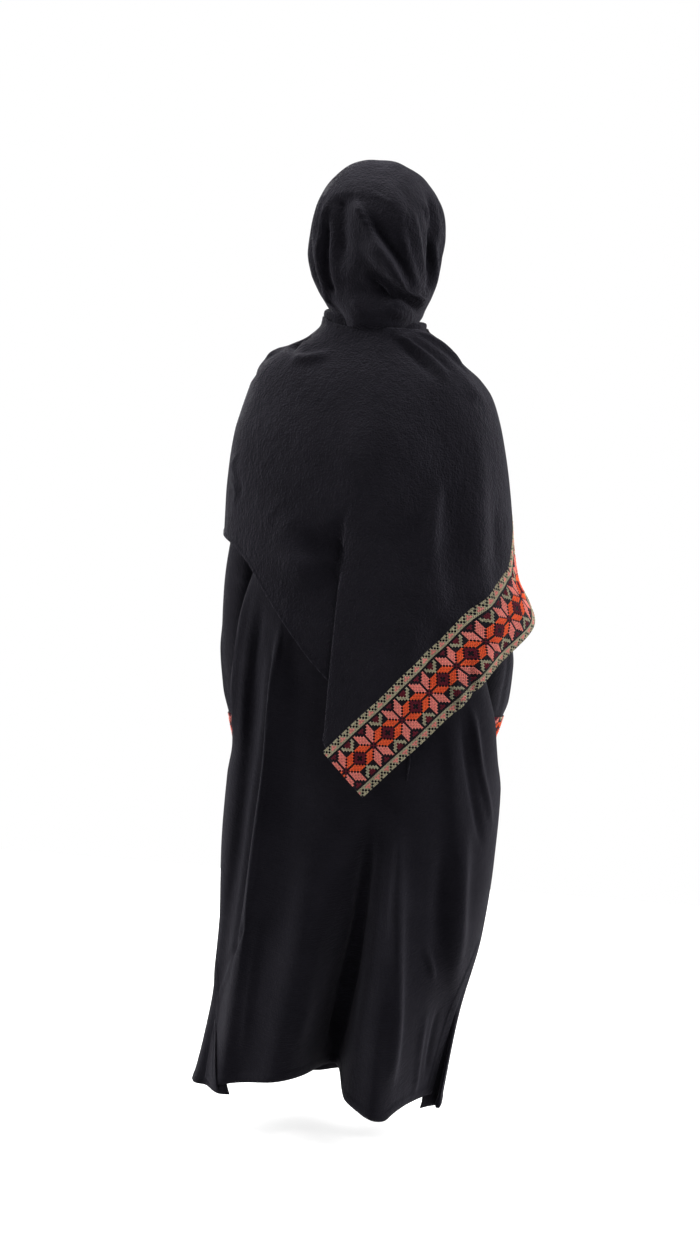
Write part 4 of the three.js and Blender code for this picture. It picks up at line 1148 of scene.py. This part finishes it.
FALL_CREASES = table(
    CREASE_NAMES,
    (65, -4, 69.5, -20, 39.5, -44, 8, -14, 0, 0.3, 0.3),  # left shoulder hollow
    (43, -42, 28, -48, 14.5, -30, 9, 8, 0, 0.3, 0.4),  # under it
    (82, -24, 84, -38, 62, -72, 9, 4, 0, 0.3, 0.5),  # left shoulder crease
    (-14.5, 2, -38, -28, -44, -80, 9, 8, 0.4, 0.3, 0.25),  # right shoulder ridge
    (-34.5, 4, -67.5, -16, -73, -52, 9, 8, 0.3, 0.3, 0.3),  # right shoulder second
    (-28.5, -6, -47.5, -34, -53, -66, 5, -4, 0, 0.3, 0.3),  # between them
    (-19, -12, -32.5, -42, -37, -80, 10, -5, 0, 0.4, 0.4),  # below the first
    (-57, 0, -78, -34, -63.5, -80, 6, 3, 0, 0.3, 0.4),  # right outer
    (58.5, -204, 65, -230, 56.5, -250, 5, 3.5, 0, 0.4, 0.4),  # left arm crease
    (71.5, -252, 57.5, -272, 64.5, -304, 5, 3.5, 0, 0.4, 0.4),  # left arm second
    (65, -242, 54, -262, 56.5, -292, 6, -3, 0, 0.4, 0.4),  # left arm hollow
    (23.5, -274, 30.5, -300, 36.5, -332, 6, 2, 0, 0.4, 0.4),  # slanted
    (15.5, -296, 23.5, -328, 29.5, -360, 7, 2, 0, 0.4, 0.4),  # slanted2
    (13, -338, 18.5, -364, 22.5, -398, 7, 1.8, 0, 0.4, 0.4),  # slanted3
    (-35, -224, -30, -290, -26, -416, 10, 6, -0.3, 0.5, 0.5),  # second fold
    (-37, -236, -35, -302, -31, -414, 11, -6, 0.3, 0.3, 0.5),  # its hollow
    (-52, -202, -51, -308, -49, -414, 20, 5, 0, 0.5, 0.45),  # right broad
    (-67, -232, -65.5, -324, -63.5, -394, 12, -3, 0, 0.5, 0.4),  # right edge hollow
    (1, -292, 3.5, -354, 5, -428, 15, -8, 0.2, 0.5, 0.3),  # left of pleat
    (29.5, -300, 19.5, -362, 10, -430, 28, 10, 0, 0.5, 0.3),  # lower left broad
    (-35, -538, -38, -572, -41.5, -614, 7, 6, 0, 0.5, 0.05),  # band bend
    (-40.5, -506, -42.5, -546, -46.5, -588, 7, -6, 0, 0.5, 0.05),  # band bend hollow
    (-22.5, -430, -19, -528, -18.5, -626, 15, 3, 0, 0.4, 0.3),  # band first
    (-34, -412, -26.5, -510, -26, -590, 13, -3, 0, 0.4, 0.3),  # band first hollow
    (-7, -78, -1.5, -194, -0.5, -306, 30, 4, 0, 0.5, 0.5),  # mid back
    (-36, -58, -34, -170, -34, -300, 26, -4, 0, 0.5, 0.5),  # mid back right
)
GOWN_CREASES = table(
    CREASE_NAMES,
    (58, -392, 60.5, -556, 69.5, -724, 8, 8, 0, 0.3, 0.4),  # left side
    (40, -432, 45, -582, 49.5, -768, 10, -9, 0, 0.3, 0.4),  # left side hollow
    (27, -462, 33, -776, 44, -1118, 6, 9, -0.4, 0.2, 0.3),  # left panel ridge
    (30, -482, 39.5, -780, 53, -1126, 8, -10, 0, 0.25, 0.3),  # left panel trough
    (-11.5, -746, -7, -974, 2.5, -1220, 13, -11, 0, 0.3, 0.1),  # valley floor
    (-21, -758, -26, -1004, -35, -1262, 12, 8, 0, 0.4, 0.15),  # right of the valley
    (-51.5, -576, -61.5, -708, -79.5, -810, 6, 6, 0.3, 0.3, 0.3),  # under the band
    (-46.5, -592, -56.5, -740, -70.5, -842, 8, -6, 0, 0.3, 0.3),  # under the band hollow
    (66, -1076, 46, -1018, 37.5, -954, 5, -4, 0, 0.2, 0.4),  # left edge slanted
    (-36.5, -990, -42.5, -1024, -49, -1068, 4, 3, 0, 0.4, 0.4),  # right slanted
    (27, -876, 35, -1064, 35, -1240, 10, 4, 0, 0.4, 0.2),  # left low
    (43.5, -1044, 59, -1104, 63.5, -1140, 5, 3, 0, 0.4, 0.4),  # left slit
    (7, -768, 9, -986, 11.5, -1232, 24, 9, 0, 0.5, 0.2),  # mid left
    (-20.5, -796, -23, -930, -31.5, -1256, 9, 8, 0.3, 0.4, 0.15),  # valley edge
    (-41, -1010, -45, -1036, -51, -1064, 5, 3, 0, 0.4, 0.4),  # right crease
    (-55, -602, -57.5, -658, -62.5, -714, 6, 4, 0, 0.3, 0.5),  # below band
    (-55.5, -756, -57, -922, -65, -1100, 14, 9, 0, 0.5, 0.4),  # right side
    (-43, -772, -44, -922, -51, -1078, 15, -9, 0, 0.5, 0.4),  # right side hollow
    (-47.5, -1094, -48, -1184, -49, -1276, 8, 4, 0, 0.4, 0.2),  # right low
    (-56, -1098, -55, -1170, -55.5, -1246, 7, -4, 0, 0.4, 0.3),  # right low hollow
    (-4.5, -764, -4, -936, 0, -1124, 16, 4, 0, 0.5, 0.4),  # mid
)
FRONT_CREASES = table(
    CREASE_NAMES,
    (128, -420, 132, -700, 136, -1080, 10, 5, 0, 0.4, 0.3),  # beside the left arm
    (140, -380, 143, -640, 146, -960, 9, -5, 0, 0.4, 0.3),
    (166, -300, 163, -560, 160, -900, 16, 5, 0.2, 0.4, 0.4),  # from the chest down
    (188, -340, 191, -620, 194, -980, 18, 5, -0.2, 0.4, 0.3),
    (206, -420, 210, -700, 214, -1040, 10, -5, 0, 0.4, 0.3),
    (228, -460, 226, -720, 224, -1120, 11, 5, 0, 0.4, 0.2),  # beside the right arm
    (176, -860, 174, -1040, 170, -1270, 14, 4, 0, 0.5, 0.1),
    (120, -960, 124, -1100, 128, -1280, 9, 4, 0, 0.5, 0.1),  # down to the left slit
    (236, -980, 234, -1110, 232, -1270, 8, 4, 0, 0.5, 0.1),
)
CHEST_CREASES = table(
    CREASE_NAMES,
    (236, 8, 190, -70, 128, -96, 9, 5, 0.3, 0.2, 0.2),  # from the right cheek down and over
    (240, -10, 200, -110, 132, -150, 8, 4.5, -0.3, 0.2, 0.25),
    (238, -2, 196, -92, 130, -122, 6, -4, 0, 0.25, 0.25),
    (232, -40, 196, -150, 134, -210, 10, 4, 0, 0.3, 0.3),
    (226, -30, 180, -40, 140, -36, 8, 4, 0, 0.3, 0.3),
    (222, 0, 182, -14, 150, -8, 6, -3, 0, 0.3, 0.3),
    (160, -120, 148, -190, 132, -262, 9, 3.5, 0, 0.4, 0.3),
)
ROLL_CREASES = table(
    CREASE_NAMES,
    (150, 0.55, 110, 0.62, 62, 0.58, 2.6, 1.6, 0, 0.3, 0.3),  # along the roll
    (40, 0.6, 0, 0.55, -50, 0.6, 2.4, -1.2, 0, 0.3, 0.3),
    (-70, 0.55, -110, 0.62, -160, 0.56, 2.6, 1.6, 0, 0.3, 0.3),
    (96, 0.72, 70, 0.5, 48, 0.66, 2.4, 1.4, 0, 0.3, 0.3),
)
SLEEVE_CREASES = table(
    CREASE_NAMES,
    (170, 2.2, 110, 3.1, 60, 3.5, 9, 5, 0.2, 0.3, 0.4),  # drawn from the inner elbow
    (190, 3.1, 130, 3.9, 84, 4.5, 8, 5, 0, 0.3, 0.4),
    (200, 3.9, 140, 4.6, 96, 5.4, 7, -4.5, 0, 0.3, 0.4),
    (176, 4.7, 130, 5.5, 92, 6.2, 8, 4.5, 0, 0.3, 0.3),
    (60, -0.4, 44, 0.6, 36, 1.8, 9, 4, 0, 0.3, 0.5),  # down from the shoulder
    (110, 0.2, 92, 1.4, 80, 2.6, 10, -4, 0, 0.3, 0.5),
    (-170, 2.4, -120, 3.3, -70, 3.8, 9, 5, 0, 0.3, 0.4),
    (-176, 3.6, -120, 4.4, -78, 5.2, 8, 4.5, 0, 0.3, 0.4),
    (-60, 0.1, -48, 1.4, -40, 2.8, 10, 4, 0, 0.3, 0.5),
    (20, 4.6, 24, 5.6, 30, 6.6, 8, 3.5, 0, 0.3, 0.3),  # on the forearm
    (-20, 4.2, -26, 5.2, -24, 6.5, 9, -3.5, 0, 0.3, 0.3),
)

# ---- Building the pieces --------------------------------------------------------------------
GOWN_HEM, SCARF_HEM, HEM_RISE = 15.0, 7.0, 1.1   # the hems' widths, and how far they stand out
# Columns and rows of each grid.  The fall's columns lie left of its pleat, in it and right of it; a
# panel's rows lie on the shoulder and below it, and the third number is the share its hem takes.
COLUMNS = dict(back=190, front=130, neck=160, sleeve=96, hood=150, roll=180, wrap=136, fall=(84, 31, 92))
ROWS = dict(back=(44, 150, 0.0085), front=(34, 110, 0.0085), wrap=(30, 70, 0.03), fall=(50, 130, 0.014))
NECK_ROWS, SLEEVE_ROWS, CUFF_ROWS, HOOD_ROWS, ROLL_ROWS, BAND_ROWS = 6, 105, 19, 150, 32, 30
HOOD_CROWDING = 1.5         # how its rows crowd towards the crown
HEMMED = 1.9                # the fall's hem ends at this column, inside the pleat
CUFF_LINE, BAND_LINE_POINTS = 721, 801   # points on the lines along which stitches are counted
CUFF_FIRST, BAND_FIRST = 3, -2           # the chart's column at which each band starts
# The unevenness of each piece: its seed, its waves' size and their depth.
RUMPLES = dict(gown=(11, 170, 1.3), left=(21, 90, 1.0), right=(22, 90, 1.0), hood=(31, 60, 0.8),
               wrap=(32, 80, 1.0))


def sheet_piece(node):
    """Hides the frame's part that a cloth piece stands in for."""
    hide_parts(node)


def worn(grid):
    """A panel of the gown with its creases and its unevenness, which pass over the side seams."""
    grid = creased(creased(grid, GOWN_CREASES, gown_body), FRONT_CREASES, gown_body)
    return rumpled(grid, *RUMPLES["gown"])


back = worn(laid_out(back_panel, np.linspace(1, -1, COLUMNS["back"]), rows_down(*ROWS["back"])))
gown_back = cloth("gown_back", hemmed(back, GOWN_HEM, HEM_RISE, slit_top=SLIT_TOP), GOWN_CLOTH)
front = worn(laid_out(front_panel, np.linspace(-1, 1, COLUMNS["front"]), rows_down(*ROWS["front"])))
gown_front = cloth("gown_front", hemmed(front, GOWN_HEM, HEM_RISE), GOWN_CLOTH)
neck = laid_out(neck_edge, whole_turn(COLUMNS["neck"]), np.linspace(0, 1, NECK_ROWS))
gown_neck = cloth("gown_neck_edge", neck, GOWN_CLOTH, around=True)

arms = {}
for side, word, rows in ((1, "left", LEFT_SLEEVE), (-1, "right", RIGHT_SLEEVE)):
    turns = side * np.linspace(0, 2 * np.pi, COLUMNS["sleeve"], endpoint=False)
    rings = np.linspace(-1, rows["ring"][-1], SLEEVE_ROWS)
    sleeve = laid_out(partial(sleeve_point, side, rows), turns, rings)
    sleeve = creased(sleeve, SLEEVE_CREASES, partial(sleeve_place, side, rows), around=True)
    sleeve = rumpled(sleeve, *RUMPLES[word], around=True)
    sleeve_piece = cloth("gown_%s_sleeve" % word, sleeve, GOWN_CLOTH, around=True)
    cuff_form = partial(cuff_at, side, rows)
    start, end = cuff_rows(rows)
    middle = partial(cuff_form, ring=np.full(CUFF_LINE, (start + end) / 2))
    line = even_shares(middle, side * np.linspace(0, 2 * np.pi, CUFF_LINE), STITCH)
    cuff = laid_out(cuff_form, line[:-1], np.linspace(start, end, CUFF_ROWS))
    chart = chart_of(SMALL_STAR, both_borders=False)[::-1]
    sewn = embroidered("%s_cuff_stitches" % word, cuff, chart, CUFF_FIRST, around=True)
    cuff_piece = cloth("gown_%s_cuff" % word, cuff, GOWN_CLOTH, around=True)
    arms[word] = (sleeve_piece, cuff_piece, sewn)

hood = laid_out(hood_form, whole_turn(COLUMNS["hood"]), np.linspace(0, 1, HOOD_ROWS) ** HOOD_CROWDING)
hood = rumpled(creased(hood, HOOD_CREASES, hood_at, around=True), *RUMPLES["hood"], around=True)
head_cloth = cloth("scarf_head_cloth", hood, SCARF_CLOTH, around=True, tip=True)
roll = laid_out(neck_roll, whole_turn(COLUMNS["roll"]), np.linspace(0, 1, ROLL_ROWS))
roll = creased(roll, ROLL_CREASES, neck_roll, around=True)
neck_cloth = cloth("scarf_neck_cloth", roll, SCARF_CLOTH, around=True)
angles = np.linspace(FRONT_WRAP["angle"][-1], WRAP_START, COLUMNS["wrap"])
wrap = laid_out(front_wrap, angles, rows_down(*ROWS["wrap"]))
wrap = creased(wrap, CHEST_CREASES, partial(on_section, CAPE))
wrap = hemmed(rumpled(wrap, *RUMPLES["wrap"]), SCARF_HEM, HEM_RISE)
chest_cloth = cloth("scarf_chest_cloth", wrap, SCARF_CLOTH)

left, pleated, right = COLUMNS["fall"]
stretches = [np.linspace(0, 1, left)[:-1], np.linspace(1, 2, pleated)[:-1], np.linspace(2, 3, right)]
columns = np.concatenate(stretches)
fall = creased(laid_out(fall_point, columns, rows_down(*ROWS["fall"])), FALL_CREASES, fall_at)
back_cloth = cloth("scarf_back_cloth", hemmed(fall, SCARF_HEM, HEM_RISE, columns < HEMMED), SCARF_CLOTH)

middle = partial(band_at, up=np.full(BAND_LINE_POINTS, CAD_BAND / 2))
shares = even_shares(middle, np.linspace(0, 1, BAND_LINE_POINTS), STITCH)
band = creased(laid_out(band_at, shares, np.linspace(CAD_BAND - SEAM, 0, BAND_ROWS)), FALL_CREASES, fall_at)
band_stitches = embroidered("scarf_end_stitches", band, chart_of(STAR, both_borders=True), BAND_FIRST)
band_cloth = cloth("scarf_end_band", band, SCARF_CLOTH)

sheet_piece("dress_back")
sheet_piece("dress_front")
sheet_piece("neck_band")
for word, cut, area in (("left", (0.32, 0.60), 0.155), ("right", (0.32, 0.58), 0.146)):
    sleeve_piece, cuff_piece, sewn = arms[word]
    sheet_piece("sleeve_" + word)
    sheet_piece(
        "cuff_" + word
    )
sheet_piece("scarf_hood")
sheet_piece("scarf_neck")
sheet_piece("scarf_front")
sheet_piece("scarf_back")
sheet_piece(
    "scarf_band"
)

# ---- Floor, lights and camera ---------------------------------------------------------------
FLOOR_REACH = 2.6
FLOOR_LOOK = {"Base Color": (0.6, 0.6, 0.6, 1), "Roughness": 0.9, "Emission Color": (1, 1, 1, 1)}
FLOOR_GLOW = 0.85           # what the floor adds to its own light, to the eye alone
AMBIENT = 0.05              # how much the white room lights the cloth
LOOK_AT = (0, 0, -0.55)     # where the lamps point


def seen_directly(tree):
    """1 for what the eye sees, and 0 for what only lights other things."""
    return tree.nodes.new("ShaderNodeLightPath").outputs["Is Camera Ray"]


floor_points = vector(*np.meshgrid((-FLOOR_REACH, FLOOR_REACH), (-FLOOR_REACH, FLOOR_REACH)), FLOOR * MM)
floor_mesh = bpy.data.meshes.new("floor")
floor_mesh.from_pydata(floor_points.reshape(-1, 3).tolist(), [], [(0, 1, 3, 2)])
floor = bpy.data.objects.new("floor", floor_mesh)
bpy.context.scene.collection.objects.link(floor)
floor_material, floor_tree, floor_shader, _ = new_material("pale_floor")
set_inputs(floor_shader, FLOOR_LOOK)
floor_glow = math_node(floor_tree, "MULTIPLY", seen_directly(floor_tree), FLOOR_GLOW)
floor_tree.links.new(floor_glow, floor_shader.inputs["Emission Strength"])
floor_mesh.materials.append(floor_material)

world = bpy.data.worlds.new("studio")
world.use_nodes = True
# The room is white to the eye, and lights the cloth only a little, so that its folds show.
sky = world.node_tree
sky.nodes["Background"].inputs["Color"].default_value = (1, 1, 1, 1)
ambient = math_node(sky, "ADD", math_node(sky, "MULTIPLY", seen_directly(sky), 1 - AMBIENT), AMBIENT)
sky.links.new(ambient, sky.nodes["Background"].inputs["Strength"])
bpy.context.scene.world = world
bpy.context.scene.view_settings.view_transform = "Standard"


def soft_light(name, place, size, power):
    """A square area light that faces the garment's middle."""
    lamp = bpy.data.lights.new(name, "AREA")
    lamp.size = size
    lamp.energy = power
    made = bpy.data.objects.new(name, lamp)
    made.location = place
    made.rotation_euler = (Vector(LOOK_AT) - Vector(place)).to_track_quat("-Z", "Y").to_euler()
    bpy.context.scene.collection.objects.link(made)


# Each lamp's name, place, size and power.
LAMPS = (
    ("left", (3.6, 0.5, 1.8), 0.9, 150),
    ("right", (-4.0, 0.5, 1.1), 0.9, 62),
    ("left_rear", (2.9, 2.4, 1.0), 0.9, 38),
    ("right_rear", (-3.1, 2.2, 1.0), 0.9, 24),
    ("right_high", (-3.4, -0.3, 2.4), 0.9, 112),
    ("top", (0.6, -0.5, 3.4), 1.4, 84),
    ("top_right", (-1.9, 1.7, 3.1), 0.9, 46),
    ("front_left", (2.6, -3.2, 1.4), 1.4, 85),
    ("front_right", (-2.8, -3.0, 1.2), 1.4, 60),
)
for name, place, size, power in LAMPS:
    soft_light(name, place, size, power)

# The camera looks from behind, a little down, with a slight roll.
VIEW_TURN, VIEW_DROP, VIEW_ROLL = (math.radians(a) for a in (190, 3.69, 3))
VIEW_PLACE = (-0.71295, 4.13908, -0.21126)
VIEW_LENS = 72.35

towards = np.array([math.sin(VIEW_TURN), -math.cos(VIEW_TURN), 0])
level = np.array([math.cos(VIEW_TURN), math.sin(VIEW_TURN), 0])
forward = -towards * math.cos(VIEW_DROP) - np.array([0, 0, math.sin(VIEW_DROP)])
upright = np.cross(level, forward)
rightward = level * math.cos(VIEW_ROLL) + upright * math.sin(VIEW_ROLL)
upward = upright * math.cos(VIEW_ROLL) - level * math.sin(VIEW_ROLL)
lens = bpy.data.cameras.new("view")
lens.lens = VIEW_LENS
camera = bpy.data.objects.new("view", lens)
bpy.context.scene.collection.objects.link(camera)
turn = np.eye(4)
turn[:3, :3] = np.stack([rightward, upward, -forward], 1)
turn[:3, 3] = VIEW_PLACE
camera.matrix_world = Matrix(turn.tolist())
bpy.context.scene.camera = camera
